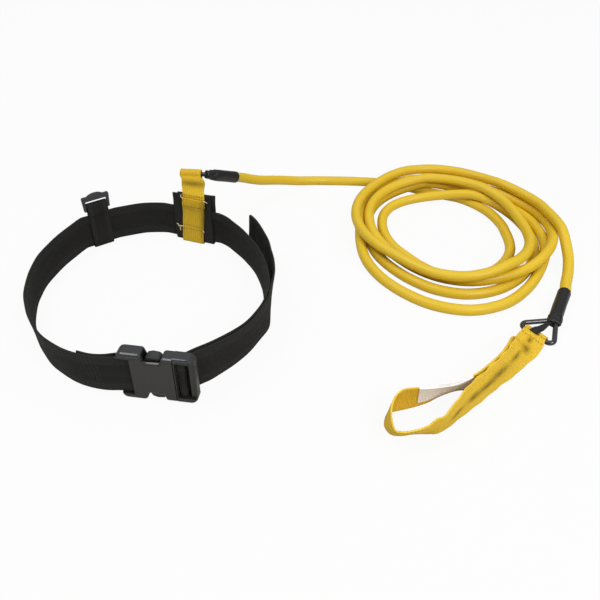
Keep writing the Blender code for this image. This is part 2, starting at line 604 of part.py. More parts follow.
def keeper_strap():
    """Webbing loop round the belt and the ladder lock's bar, its end lapped on the inner face."""
    spread = BELT_THICK / 2 + FIT + KEEPER_THICK / 2
    low = KEEPER_BASE - FIT - KEEPER_THICK / 2 - 0.15
    reach = LOCK_BAR_RADIUS + FIT + KEEPER_THICK / 2
    lap = KEEPER_THICK + FIT
    profile = [(-spread - lap, 41.5), (-spread - lap, 45.5), (-reach - 0.2, 49.5), (-reach, 51.2)]
    for degrees in (150, 110, 70, 30):
        a = math.radians(degrees)
        profile.append((reach * math.cos(a), LOCK_BAR_Z + reach * math.sin(a)))
    profile += [(reach, 50.6), (spread + 0.4, 46.0), (spread, 41.0), (spread, 24.0), (spread, 3.4),
                (spread - 0.5, low + 0.35), (0.0, low), (-spread + 0.5, low + 0.35), (-spread, 3.4),
                (-spread, 24.0), (-spread, 39.0), (-spread, 43.5)]
    middles = [Vector((0.0, y, z)) for y, z in profile]
    ways = [(1.0, 0.0, 0.0)] * len(middles)
    mesh = ribbon_mesh("keeper_strap", middles, ways, [KEEPER_WIDTH] * len(middles), KEEPER_THICK)
    return add("keeper_strap", mesh, BLACK_WEBBING, KEEPER)


def ladder_lock():
    """Moulded frame of the keeper, in the frame of the bar that the webbing loops round."""
    half = LOCK_WIDTH / 2
    inner = KEEPER_WIDTH / 2 + FIT
    z0, z1 = LOCK_BOTTOM - LOCK_BAR_Z, LOCK_TOP - LOCK_BAR_Z
    lip = 2.6
    outline = [(-half + 1.0, z0), (-inner, z0), (-inner, LOCK_SLOT_TOP - LOCK_BAR_Z),
               (inner, LOCK_SLOT_TOP - LOCK_BAR_Z), (inner, z0), (half - 1.0, z0), (half, z1)]
    radii = [0.9, 0.9, 0.6, 0.6, 0.9, 0.9, 1.6]
    outline += [(half - 6.0, z1 - 0.2)]
    radii += [1.0]
    for k in range(1, 6):
        a = math.pi * k / 6
        outline.append(((half - 7.5) * math.cos(a), z1 + lip * math.sin(a)))
        radii.append(0.0)
    outline += [(-half + 6.0, z1 - 0.2), (-half, z1)]
    radii += [1.0, 1.6]
    mesh = bevelled(plate_mesh("ladder_lock", [rounded(outline, radii, 2)], LOCK_DEPTH), 0.5, 1, 60.0)
    lock = add("ladder_lock", mesh, BLACK_PLASTIC, LOCK)
    bar = bpy.data.meshes.new("lock_bar")
    bm = bmesh.new()
    bmesh.ops.create_cone(bm, cap_ends=True, segments=12, radius1=LOCK_BAR_RADIUS * MM,
                          radius2=LOCK_BAR_RADIUS * MM, depth=(2 * inner + 1.0) * MM)
    bmesh.ops.rotate(bm, cent=(0, 0, 0), matrix=Matrix.Rotation(math.radians(90), 3, "Y"),
                     verts=bm.verts)
    bm.to_mesh(bar)
    bm.free()
    boolean(lock, bar, "UNION", "lock_bar")
    return lock


def ring_points():
    """Middle line of the triangle ring, base on X = 0 and apex at +X, and its sharp apex."""
    half = RING_BASE / 2
    corners = [(0.0, -half), (RING_SHARP_HEIGHT, 0.0), (0.0, half)]
    radii = [RING_CORNER_R, RING_APEX_R, RING_CORNER_R]
    return [(p.x, p.y, 0.0) for p in rounded(corners, radii, 5)]


def placed(points, origin, x_way, y_way):
    """Points of a flat figure, laid on two directions in space."""
    x_way, y_way = Vector(x_way).normalized(), Vector(y_way).normalized()
    return [Vector(origin) + p[0] * x_way + p[1] * y_way for p in points]


def cuff_mesh(name, neck_width):
    """Shrink sleeve along +X: open at X = 0, its far end pinched round the apex of the ring."""
    side = [(0.0, CUFF_R - 0.25), (0.6, CUFF_R), (CUFF_LENGTH - NECK_LENGTH - 2.0, CUFF_R),
            (CUFF_LENGTH - NECK_LENGTH, CUFF_R - 0.4)]
    mesh = bpy.data.meshes.new(name)
    bm = bmesh.new()
    rows = []
    stations = [(x, r, r) for x, r in side]
    wide = neck_width / 2
    stations += [(CUFF_LENGTH - 0.6 * NECK_LENGTH, NECK_DEPTH / 2 + 0.9, (CUFF_R + wide) / 2),
                 (CUFF_LENGTH - 0.3 * NECK_LENGTH, NECK_DEPTH / 2, wide),
                 (CUFF_LENGTH - 1.2, NECK_DEPTH / 2, wide - 0.3),
                 (CUFF_LENGTH, NECK_DEPTH / 2 - 0.8, wide - 1.4)]
    count = 20
    for x, deep, wide in stations:
        row = []
        for k in range(count):
            a = 2 * math.pi * k / count
            row.append(bm.verts.new(Vector((x, wide * math.cos(a), deep * math.sin(a))) * MM))
        rows.append(row)
    for row, nxt in zip(rows[:-1], rows[1:]):
        for k in range(count):
            j = (k + 1) % count
            bm.faces.new((row[k], row[j], nxt[j], nxt[k]))
    bm.faces.new(rows[0][::-1])
    bm.faces.new(rows[-1])
    bmesh.ops.recalc_face_normals(bm, faces=bm.faces)
    bm.to_mesh(mesh)
    bm.free()
    return mesh


def bore_mesh(name):
    mesh = bpy.data.meshes.new(name)
    bm = bmesh.new()
    length = 1.0 + GRIP_LENGTH + SEAT + PLUG_LENGTH + SEAT
    bmesh.ops.create_cone(bm, cap_ends=True, segments=20, radius1=CUFF_BORE * MM,
                          radius2=CUFF_BORE * MM, depth=length * MM)
    bmesh.ops.rotate(bm, cent=(0, 0, 0), matrix=Matrix.Rotation(math.radians(90), 3, "Y"),
                     verts=bm.verts)
    bmesh.ops.translate(bm, vec=((length / 2 - 1.0) * MM, 0, 0), verts=bm.verts)
    bm.to_mesh(mesh)
    bm.free()
    return mesh


def plug_mesh(name):
    """Barbed plug that fills the sleeve behind the tube's end."""
    mesh = bpy.data.meshes.new(name)
    bm = bmesh.new()
    rings = [(0.0, PLUG_R - 0.8), (0.8, PLUG_R), (PLUG_LENGTH / 2 - 0.6, PLUG_R), (PLUG_LENGTH / 2, PLUG_R - 0.9),
             (PLUG_LENGTH / 2 + 0.6, PLUG_R), (PLUG_LENGTH - 0.8, PLUG_R), (PLUG_LENGTH, PLUG_R - 0.8)]
    chain = [bm.verts.new((x * MM, 0.0, r * MM)) for x, r in rings]
    edges = [bm.edges.new(pair) for pair in zip(chain[:-1], chain[1:])]
    bmesh.ops.spin(bm, geom=chain + edges, cent=(0, 0, 0), axis=(1, 0, 0), angle=2 * math.pi,
                   steps=16, use_merge=True)
    bmesh.ops.holes_fill(bm, edges=bm.edges)
    bmesh.ops.recalc_face_normals(bm, faces=bm.faces)
    bm.to_mesh(mesh)
    bm.free()
    return mesh


def along_frame(origin, way, level):
    """A matrix whose X points along way and whose Y is as near level as it can be."""
    x = Vector(way).normalized()
    z = x.cross(Vector(level)).normalized()
    y = z.cross(x)
    turn = Matrix((x, y, z)).transposed().to_4x4()
    return Matrix.Translation(Vector(origin) * MM) @ turn


def hardware(prefix, cuff_origin, cuff_way, level, neck_width, ring_line, ring_parent, cuff_parent):
    """Ring, sleeve and plug of one end of the tube, made in world places under their frames."""
    ring = tube_mesh(prefix + "_ring", ring_line, WIRE_R, 3, cyclic=True)
    ring_object = seated(prefix + "_ring", ring, COATED_WIRE, ring_parent)
    place = along_frame(cuff_origin, cuff_way, level)
    sleeve = cuff_mesh(prefix + "_cuff", neck_width)
    sleeve.transform(place)
    cuff = seated(prefix + "_cuff", sleeve, BLACK_RUBBER, cuff_parent)
    bore = bore_mesh(prefix + "_bore")
    bore.transform(place)
    cut_in_place(cuff, bore, prefix + "_bore")
    eye = tube_mesh(prefix + "_eye", ring_line, WIRE_R + SEAT, 3, cyclic=True)
    cut_in_place(cuff, eye, prefix + "_eye")
    core = plug_mesh(prefix + "_plug")
    core.transform(place @ Matrix.Translation(((GRIP_LENGTH + SEAT) * MM, 0, 0)))
    seated(prefix + "_plug", core, BLACK_PLASTIC, cuff_parent)
    return ring_object, cuff


def seated(name, mesh, finish, parent):
    """Add a mesh that was made in root coordinates under a frame that has its own place."""
    bpy.context.view_layer.update()
    mesh.transform((ROOT.matrix_world.inverted() @ parent.matrix_world).inverted())
    return add(name, mesh, finish, parent)


def cut_in_place(target, mesh, name):
    bpy.context.view_layer.update()
    mesh.transform((ROOT.matrix_world.inverted() @ target.parent.matrix_world).inverted())
    boolean(target, mesh, "DIFFERENCE", name)


def coil_route():
    """The coil from above: reaches read off the table at steps of 45 degrees, clockwise."""
    table = [r for turn in COIL_REACH for r in turn if r is not None]
    reach = np.array([COIL_FIRST] + table)
    first = COIL_STEP
    last = first - COIL_STEP * (len(reach) - 1)
    out = []
    for angle in np.arange(first - 30.0, last - 0.1, -360.0 / LOOP_POINTS):
        x = (first - angle) / COIL_STEP
        i = int(min(max(math.floor(x), 0), len(reach) - 2))
        f = x - i
        p0, p1 = reach[max(i - 1, 0)], reach[i]
        p2, p3 = reach[i + 1], reach[min(i + 2, len(reach) - 1)]
        r = 0.5 * (2 * p1 + (p2 - p0) * f + (2 * p0 - 5 * p1 + 4 * p2 - p3) * f * f
                   + (3 * p1 - p0 - 3 * p2 + p3) * f ** 3)
        a = math.radians(angle)
        out.append((COIL_MIDDLE[0] + r * math.cos(a), COIL_MIDDLE[1] + r * math.sin(a)))
    return out


def holding(place, here, laid, need):
    """Height that a point needs to lie on the strands laid before it, or None over bare floor."""
    at, z, run = laid
    old = run < here - 2.5 * need
    away = np.linalg.norm(at[old] - place, axis=1)
    near = away < need
    if not near.any():
        return None
    return float((z[old][near] + np.sqrt(need ** 2 - away[near] ** 2)).max())


def between(values, parts):
    """Values at the knots and at even steps of the chords between them."""
    out = [values[0]]
    for a, b in zip(values[:-1], values[1:]):
        out += [a + (b - a) * (k + 1) / parts for k in range(parts)]
    return np.array(out)


def coil_points():
    """The unbroken tube of the coil: each strand lies on the surface or on what was laid before."""
    mouth = Vector(CUFF_MOUTH)
    way = Vector(CUFF_WAY).normalized()
    end = [mouth - 5.0 * way, mouth, mouth + TUBE_OD * way, mouth + (GRIP_LENGTH - SEAT) * way]
    flat = COIL_START + coil_route() + [p[:2] for p in COIL_END] + [(p.x, p.y) for p in end]
    line = spline(flat, 24.5, width=2)
    fine = between(line, CHORD_PARTS)
    step = np.linalg.norm(np.diff(fine, axis=0), axis=1)
    run = np.concatenate([[0.0], np.cumsum(step)])
    height = np.full(len(fine), TUBE_R)
    for i in range(1, len(fine)):
        rest = holding(fine[i], run[i], (fine[:i], height[:i], run[:i]), TUBE_OD + LAY_GAP)
        height[i] = max(height[i], rest or 0.0)
        if i % CHORD_PARTS == 0:
            eased = height[:i + 1].copy()
            for _ in range(60):
                eased[1:-1] = np.maximum(height[1:i], (eased[:-2] + eased[2:]) / 2 - 0.012)
            height[:i + 1] = eased
    knots = height[::CHORD_PARTS].copy()
    down = len(COIL_END) + len(end)
    knots[-down:] = [p[2] for p in COIL_END] + [p.z for p in end]
    knots[-down - 1] = min(knots[-down - 1], knots[-down] + 3.0)
    for i in range(CHORD_PARTS, len(fine)):
        k, part = divmod(i - 1, CHORD_PARTS)
        f = (part + 1) / CHORD_PARTS
        chords = between(knots[:k + 2], CHORD_PARTS)
        rest = holding(fine[i], run[i], (fine[:i], chords[:i], run[:i]), TUBE_OD + LEAST_GAP)
        short = (rest or 0.0) - chords[i]
        if short > 0:
            weight = f * f + (1 - f) * (1 - f)
            knots[k + 1] += short * f / weight
            knots[k] += short * (1 - f) / weight
    return line, knots, run[-1]


def least_gap(points, thick):
    """Smallest room between two strands, measured every few millimetres along the chords."""
    fine = []
    for a, b in zip(points[:-1], points[1:]):
        count = max(2, int(np.linalg.norm(b - a) / 2.5))
        fine += [a + (b - a) * k / count for k in range(count)]
    fine = np.array(fine)
    run = np.concatenate([[0.0], np.cumsum(np.linalg.norm(np.diff(fine, axis=0), axis=1))])
    best = 1e9
    for i in range(len(fine)):
        far = run > run[i] + 3.0 * thick
        if far.any():
            best = min(best, float(np.linalg.norm(fine[far] - fine[i], axis=1).min()))
    return best - thick


def tube_coil():
    line, height, length = coil_points()
    points = np.column_stack([line, height])
    gap = least_gap(points, TUBE_OD)
    print(f"coil: least gap to itself {gap:.2f} mm, {len(points)} points, {length / 1000:.3f} m")
    mesh = tube_mesh("tube_coil", [Vector(p) for p in points], TUBE_R, 1)
    return seated("tube_coil", mesh, LATEX, SLIDER)


def tube_lead(cuff_origin, cuff_way):
    way = Vector(cuff_way).normalized()
    mouth = Vector(cuff_origin)
    grip = [mouth + way * (GRIP_LENGTH - SEAT), mouth + way * TUBE_OD, mouth]
    grip.append(mouth - way * 5.0)
    knots = [tuple(p) for p in grip] + LEAD
    points = spline(knots, 17.0)
    length = np.linalg.norm(np.diff(points, axis=0), axis=1).sum()
    print(f"lead: {length / 1000:.3f} m, {len(points)} points")
    mesh = tube_mesh("tube_lead", [Vector(p) for p in points], TUBE_R, 2)
    return seated("tube_lead", mesh, LATEX, SLIDER)


def strap_stations():
    """The anchor strap: lap under the bar, fold round it, the loop, and the end under the lap."""
    bar = Vector((*ANCHOR_BAR, ANCHOR_BAR_Z))
    apex = Vector((*ANCHOR_APEX_WAY, 0.0)).normalized()
    across = Vector((-apex.y, apex.x, 0.0))
    reach = WIRE_R + FIT + ANCHOR_THICK / 2
    rows = [(bar - 9.0 * apex + Vector((0, 0, -reach)), across, ANCHOR_FOLD_WIDTH)]
    for degrees in (-90, -54, -18, 18, 54, 90):
        a = math.radians(degrees)
        rows.append((bar + reach * math.cos(a) * apex + Vector((0, 0, reach * math.sin(a))),
                     across, ANCHOR_FOLD_WIDTH))
    knots = [(*rows[-1][0], *across, ANCHOR_FOLD_WIDTH)]
    knots += [(*middle, *way, ANCHOR_WIDTH) for middle, way in STRAP]
    curve = spline(knots, 9.0)
    return rows, curve


def anchor_strap():
    rows, curve = strap_stations()
    middles = [r[0] for r in rows[:-1]] + [Vector(p[:3]) for p in curve]
    ways = [r[1] for r in rows[:-1]] + [Vector(p[3:6]) for p in curve]
    widths = [r[2] for r in rows[:-1]] + [p[6] for p in curve]
    mesh = ribbon_mesh("anchor_strap", middles, ways, widths, ANCHOR_THICK)
    return seated("anchor_strap", mesh, YELLOW_WEBBING, STRAP_PIVOT)


def strap_label():
    """Blank label on the face of the strap's returning run."""
    _, curve = strap_stations()
    run = np.concatenate([[0.0], np.cumsum(np.linalg.norm(np.diff(curve[:, :3], axis=0), axis=1))])
    share = run / run[-1]
    offset = ANCHOR_THICK / 2 + SEAT + LABEL_THICK / 2
    middles, ways = [], []
    for i in range(1, len(curve) - 1):
        if not LABEL_SPAN[0] < share[i] < LABEL_SPAN[1]:
            continue
        heading = Vector(curve[i + 1, :3] - curve[i - 1, :3]).normalized()
        way = Vector(curve[i, 3:6]).normalized()
        normal = heading.cross(way).normalized()
        middles.append(Vector(curve[i, :3]) + offset * normal)
        ways.append(way)
    mesh = ribbon_mesh("strap_label", middles, ways, [LABEL_HEIGHT] * len(middles), LABEL_THICK)
    return seated("strap_label", mesh, WHITE_CLOTH, STRAP_PIVOT)


def anchor_tongue(apex_point, apex_way):
    """Flat rubber tongue from the neck towards the strap, widening to its end."""
    way = -Vector((*apex_way, 0.0)).normalized()
    across = Vector((-way.y, way.x, 0.0))
    top = ANCHOR_BAR_Z + WIRE_R + FIT + 1.2
    start = Vector(apex_point) + 6.1 * way
    rows = [(start, 3.4, top - 0.2), (start + 5.0 * way, 4.2, top + 0.1),
            (start + 10.0 * way, 6.0, top + 0.1), (start + 15.2 * way, 7.6, top)]
    middles = [Vector((p.x, p.y, z)) for p, _, z in rows]
    mesh = ribbon_mesh("anchor_tongue", middles, [across] * len(rows), [w for _, w, _ in rows], 1.4)
    return seated("anchor_tongue", mesh, BLACK_RUBBER, RING_PIVOT)


def stand_on_origin(cords):
    """Move the whole model so that the middle of what it stands on, cords apart, is the origin."""
    bpy.context.view_layer.update()
    graph = bpy.context.evaluated_depsgraph_get()
    low, high = Vector((1e9,) * 3), Vector((-1e9,) * 3)
    for piece in PARTS.objects:
        if piece.type != "MESH" or piece.name in cords:
            continue
        shape = piece.evaluated_get(graph)
        for corner in shape.data.vertices:
            place = shape.matrix_world @ corner.co
            low = Vector(map(min, low, place))
            high = Vector(map(max, high, place))
    ROOT.location = (-(low.x + high.x) / 2, -(low.y + high.y) / 2, -low.z)
    bpy.context.view_layer.update()
    print("moved by", [round(v / MM, 3) for v in ROOT.location])


for thing in list(bpy.data.objects):
    bpy.data.objects.remove(thing)

PARTS = collection("swim_resistance_belt")
CUTTERS = collection("cutters")

BLACK_WEBBING = material("black_webbing", (0.018, 0.018, 0.017), 0.75)
YELLOW_WEBBING = material("yellow_webbing", (0.80, 0.45, 0.03), 0.7)
BLACK_PLASTIC = material("black_plastic", (0.022, 0.022, 0.021), 0.35)
BLACK_RUBBER = material("black_rubber", (0.02, 0.02, 0.02), 0.45)
COATED_WIRE = material("coated_wire", (0.015, 0.015, 0.015), 0.3)
LATEX = material("yellow_latex", (0.78, 0.50, 0.04), 0.4)
WHITE_CLOTH = material("white_label_cloth", (0.75, 0.72, 0.72), 0.8)

ROOT = frame_empty("belt_middle", (0.0, 0.0, 0.0))
BUCKLE = frame_empty("buckle_middle", (BUCKLE_X, BUCKLE_Y, BUCKLE_HEIGHT / 2), BUCKLE_TURN, ROOT)
INSERT = frame_empty("insert_slide", (0.0, 0.0, 0.0), 0.0, BUCKLE)
UPPER = frame_empty("upper_prong_pivot", (PRONG_PIVOT_X, 0.0, PRONG_PIVOT_Z), 0.0, INSERT)
LOWER = frame_empty("lower_prong_pivot", (PRONG_PIVOT_X, 0.0, -PRONG_PIVOT_Z), 0.0, INSERT)
SLIDER = frame_empty("slider_middle", (SLIDER_X, SLIDER_Y, 0.0), SLIDER_TURN, ROOT)
KEEPER = frame_empty("keeper_middle", (KEEPER_X, KEEPER_Y, 0.0), KEEPER_TURN, ROOT)
LOCK = frame_empty("ladder_lock_pivot", (0.0, 0.0, LOCK_BAR_Z), 0.0, KEEPER)

belt_webbing()
buckle_socket()
buckle_insert()
prong("upper_prong", 1, UPPER)
prong("lower_prong", -1, LOWER)
patch("slider_inner_patch", -1)
patch("slider_outer_patch", 1)
tab_strap()
keeper_strap()
ladder_lock()

leg_way = Vector((math.cos(LOOP_TURN), math.sin(LOOP_TURN), 0.0))
leg_side = leg_way.cross(Vector(RING_SWUNG_BACK)).cross(leg_way).normalized()
BELT_RING = frame_empty("belt_ring_pivot", LOOP_MIDDLE, 0.0, ROOT)
half_angle = math.atan2(RING_BASE / 2, RING_SHARP_HEIGHT)
leg_length = math.hypot(RING_BASE / 2, RING_SHARP_HEIGHT)
grip_middle = LEG_IN_LOOP
sharp_apex = Vector(LOOP_MIDDLE) + grip_middle * leg_way
inward = -math.cos(half_angle) * leg_way + math.sin(half_angle) * leg_side
sideways = -math.sin(half_angle) * leg_way - math.cos(half_angle) * leg_side
ring_base = sharp_apex + RING_SHARP_HEIGHT * inward
belt_line = placed(ring_points(), ring_base, -inward, sideways)
apex_middle = sharp_apex + RING_APEX_R * (1 / math.sin(half_angle) - 1) * inward
cuff_axis = Vector(BELT_CUFF_WAY).normalized()
cuff_mouth = apex_middle + cuff_axis * (CUFF_LENGTH - NECK_PAST_APEX)
hardware("belt_end", cuff_mouth, -cuff_axis, leg_way, BELT_NECK_WIDTH, belt_line, BELT_RING, BELT_RING)
tube_lead(cuff_mouth, -cuff_axis)

apex = Vector((*ANCHOR_APEX_WAY, 0.0)).normalized()
bar_middle = Vector((*ANCHOR_BAR, ANCHOR_BAR_Z))
RING_PIVOT = frame_empty("anchor_ring_pivot", (0.0, 0.0, 0.0), 0.0, SLIDER)
STRAP_PIVOT = frame_empty("anchor_strap_pivot", (0.0, 0.0, 0.0), 0.0, RING_PIVOT)
for pivot, world in ((RING_PIVOT, ANCHOR_APEX), (STRAP_PIVOT, bar_middle)):
    bpy.context.view_layer.update()
    pivot.matrix_world = Matrix.Translation(Vector(world) * MM)
rise = Vector((0, 0, (ANCHOR_APEX[2] - ANCHOR_BAR_Z) / RING_TO_APEX))
level = (-apex.y, apex.x, 0.0)
near_line = placed(ring_points(), bar_middle, apex + rise, level)
hardware("anchor", CUFF_MOUTH, CUFF_WAY, level, ANCHOR_NECK_WIDTH, near_line, RING_PIVOT, SLIDER)
anchor_strap()
strap_label()
anchor_tongue(ANCHOR_APEX, ANCHOR_APEX_WAY)
tube_coil()

stand_on_origin({"tube_lead", "tube_coil"})
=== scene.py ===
"""Looks of the swim resistance belt: webbing, moulded buckle, latex tube and its two sleeves.

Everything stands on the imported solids, in metres. The file is laid out as an add-on with one
operator for each group of pieces. Run as a script, it makes them all.
"""
import json
import math

import bmesh
import bpy
import numpy as np
from bpy.props import FloatProperty, FloatVectorProperty, PointerProperty
from mathutils import Matrix, Vector


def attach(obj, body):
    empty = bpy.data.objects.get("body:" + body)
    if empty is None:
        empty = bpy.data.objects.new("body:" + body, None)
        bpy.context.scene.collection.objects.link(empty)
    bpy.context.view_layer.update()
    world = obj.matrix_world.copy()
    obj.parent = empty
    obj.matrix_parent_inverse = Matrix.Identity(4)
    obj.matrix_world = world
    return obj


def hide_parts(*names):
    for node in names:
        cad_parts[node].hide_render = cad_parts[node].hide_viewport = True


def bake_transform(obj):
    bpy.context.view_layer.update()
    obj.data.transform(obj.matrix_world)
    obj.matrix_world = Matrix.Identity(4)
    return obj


bl_info = {
    "name": "Swim resistance belt",
    "version": (1, 0, 0),
    "blender": (4, 5, 0),
    "location": "3D View > Sidebar > Swim belt",
    "description": "Dresses the solids of a swim resistance belt with webbing, buckle and tube",
    "category": "Object",
}

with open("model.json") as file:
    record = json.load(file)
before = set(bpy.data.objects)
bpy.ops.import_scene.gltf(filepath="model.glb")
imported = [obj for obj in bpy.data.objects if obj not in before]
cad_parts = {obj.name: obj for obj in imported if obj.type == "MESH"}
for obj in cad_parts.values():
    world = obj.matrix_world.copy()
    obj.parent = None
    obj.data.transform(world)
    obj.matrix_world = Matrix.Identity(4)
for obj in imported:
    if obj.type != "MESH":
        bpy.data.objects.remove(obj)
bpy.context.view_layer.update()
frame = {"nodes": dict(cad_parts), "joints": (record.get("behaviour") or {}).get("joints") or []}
TAU = 2 * math.pi
MM = 0.001
SHARP_ANGLE = math.radians(40.0)


def joint_place(name):
    """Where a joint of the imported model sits."""
    return Vector(next(j for j in frame["joints"] if j["name"] == name)["pos_m"])


# Places are those of the part's source, before it moves everything to stand on its origin
LOOP_MIDDLE = Vector((-0.1171, 0.1486, 0.066))
SHIFT = joint_place("belt_ring_swing") - LOOP_MIDDLE

# Belt: plan, height of the lower edge, and how far that edge leans out in degrees
BELT_WIDTH = 0.0381
BELT_THICK = 0.0018
LAYER_GAP = 0.0004  # air between two layers of webbing
SEWN_END = [
    (-0.183, -0.1136, 0.0054, 2), (-0.1715, -0.118, 0.0058, 1),
]
RING_LEFT = [
    (-0.161, -0.122, 0.00595, 0), (-0.171, -0.1206, 0.0059, -1), (-0.1836, -0.1164, 0.0054, -2),
    (-0.2, -0.1066, 0.0044, -4), (-0.2167, -0.0925, 0.0032, -5), (-0.2304, -0.0753, 0.002, -5),
    (-0.243, -0.054, 0.001, -4), (-0.2536, -0.0278, 0.0005, -2), (-0.259, 0.001, 0.0003, 0),
    (-0.2596, 0.026, 0.0003, 0), (-0.2564, 0.044, 0.0006, 0), (-0.25, 0.064, 0.0012, 0),
    (-0.241, 0.0825, 0.0024, 0),
]
RING_RIGHT = [
    (-0.1865, 0.1226, 0.0039, 0), (-0.171, 0.1266, 0.0042, 0), (-0.1548, 0.127, 0.0044, 0),
]
RING_NEAR = [
    (-0.0775, 0.0962, 0.0046, 0), (-0.0678, 0.0832, 0.0049, 0), (-0.058, 0.069, 0.0051, 0),
    (-0.0495, 0.054, 0.0052, 0), (-0.0405, 0.033, 0.0054, -2), (-0.034, 0.008, 0.0056, -5),
    (-0.0312, -0.018, 0.0058, -8), (-0.0325, -0.04, 0.00595, -6), (-0.0385, -0.0575, 0.00595, -8),
    (-0.047, -0.074, 0.00595, -8), (-0.058, -0.0885, 0.00595, -5), (-0.0705, -0.1002, 0.00595, -2),
]
TAIL = [
    (-0.0686, -0.1032, 0.00595, 2), (-0.0552, -0.091, 0.00595, 5), (-0.044, -0.076, 0.00595, 6),
    (-0.0354, -0.059, 0.00595, 5), (-0.0288, -0.041, 0.00595, 2), (-0.0276, -0.019, 0.0058, 5),
    (-0.0268, -0.002, 0.0057, 8), (-0.0280, 0.017, 0.0056, 7), (-0.0302, 0.035, 0.0055, 4),
    (-0.0328, 0.051, 0.0054, 2), (-0.0372, 0.067, 0.0054, 0), (-0.0422, 0.08, 0.0054, 0),
    (-0.0474, 0.0915, 0.0054, 0), (-0.0542, 0.1018, 0.0054, 0),
]
BELT_STEP = 0.003  # between two stations of the belt
BELT_BASE_AT_BUCKLE = 0.00595
HEM_LENGTH = 0.010
HEM_THICK = 0.0011
TAIL_SLANT = 0.12
TAIL_SLANT_LENGTH = 0.024
SEWN_PLACE = (-0.1705, -0.1207)
LADDER_SLOTS = (0.0172, 0.0232)
SHEEN_TOP = (0.0446, 0.0456)  # heights between which a moulding turns glossy and takes a painted blue-grey reflection
BUCKLE = (-0.116, -0.1234, math.radians(-9.0))
SLIDER = (-0.1156, 0.1147, math.radians(-19.5))
SLIDER_KNOTS = (-0.034, -0.032, 0.0, 0.028, 0.030)
SLIDER_BASE = 0.0044
PATCH_WIDTH = 0.045
PATCH_THICK = 0.0016
THREAD_R = 0.00042
KEEPER = (-0.217, 0.1076, math.radians(34.0))
KEEPER_KNOTS = (-0.0185, -0.0168, 0.0, 0.0168, 0.0185)
KEEPER_BASE = 0.0032
KEEPER_THICK = 0.0014
LOCK_BAR_Z = 0.0517
LOCK_BAR_R = 0.0017

# Tube: the lead off the belt, then the coil as reaches from its middle. TABLE_TURN and PLAN_TURN
# are the degrees between two reaches of the table, and between two places of the finished plan.
LEAD = [
    (-0.0495, 0.2010, 0.0303), (-0.0255, 0.2200, 0.0200), (-0.001, 0.2350, 0.0110),
    (0.023, 0.2434, 0.0068), (0.0345, 0.2451, 0.00565), (0.0464, 0.245, 0.00555),
]
COIL_START = [
    (0.0467, 0.245), (0.058, 0.2446), (0.0731, 0.2436), (0.1016, 0.2397), (0.132, 0.2296),
    (0.1625, 0.2139), (0.1950, 0.1998), (0.2194, 0.1725),
]
COIL_END = [
    (0.2802, 0.1064, 0.029), (0.2824, 0.0845, 0.021), (0.2819, 0.0647, 0.011),
    (0.2766, 0.0445, 0.0062), (0.269, 0.026, 0.006),
]
COIL_MIDDLE = (0.1655, 0.124)
TABLE_TURN, PLAN_TURN = 45.0, 15.0
COIL_FIRST = 0.0725
COIL_REACH = [
    (None, None, 0.0655, 0.076, 0.0875, 0.071, 0.071, 0.08),
    (0.074, 0.079, 0.0895, 0.1015, 0.1135, 0.0975, 0.0895, 0.0965),
    (0.0945, 0.0925, 0.1005, 0.1135, 0.139, 0.118, 0.0985, 0.1075),
    (0.1075, 0.1025, 0.1105, 0.1095, 0.1010, 0.0865, 0.0875, 0.0935),
    (0.0885, 0.08, 0.078, 0.0960, 0.1080, 0.0945, 0.1025, 0.1075),
    (0.118, 0.1055, 0.112, None, None, None, None, None),
]
LEAD_LAST = (0.058, 0.2446)
LEAD_OVERLAP = 0.0116  # the lead's last stretch, which the coil's first knots take over
LAY_STEP = 0.0041  # between two stations of the tube
LAY_GAP = 0.0003  # air between two strands
TUBE_IN_SLEEVE = 0.0247
TUBE_STRAIGHT = 0.005  # straight stretch outside of a sleeve's mouth
TUBE_SIDES = 18

# How the climbs of the coil are eased: every so many stations, so many times, with a drop each time.
# Then the kink where the last strand starts down: stations before it that are smoothed with it, how
# many times, and the stations at the tube's end that are left as they are.
EASE_EVERY, EASE_TIMES, EASE_DROP = 6, 60, 0.000012
KINK_START, KINK_TIMES, KINK_END = 25, 12, 8

# A stretch of the lead from the far sleeve's mouth, and what the sleeve holds of it
BEND_WAY = Vector((-0.9962, -0.0872, 0.0))
BEND_LENGTH = 0.087
HELD_LENGTH = 0.010

# Hardware at the two ends of the tube
WIRE_R = 0.0024
WIRE_SIDES = 16
RING_BASE, RING_SHARP_HEIGHT = 0.042, 0.0306
RING_CORNER_R, RING_APEX_R = 0.0045, 0.004
CUFF_R = 0.0065
CUFF_LENGTH = 0.055
BELT_CUFF_LENGTH, BELT_CUFF_BACK = 0.049, 0.006
CUFF_HINGE = (0.016, 0.003)  # reaches from the near ring's apex that bound a stretch of the sleeve
NECK_LENGTH = 0.013
NECK_PAST_APEX = 0.0044
NECK_DEPTH = 0.0088
SLEEVE_SIDES = 32
BELT_NECK_WIDTH, ANCHOR_NECK_WIDTH = 0.009, 0.014
LOOP_TURN = math.radians(-6.0)
LEG_IN_LOOP = 0.019
RING_SWUNG_BACK = (-0.15, 0.875, -0.46)
BELT_CUFF_WAY = (0.598, 0.704, -0.44)
ANCHOR_BAR = Vector((0.2179, -0.0497, 0.0044))
ANCHOR_APEX_WAY = Vector((0.8, 0.6, 0.0))
ANCHOR_APEX_Z = 0.0066
CUFF_WAY = Vector((-0.46, -0.888, 0.0)).normalized()

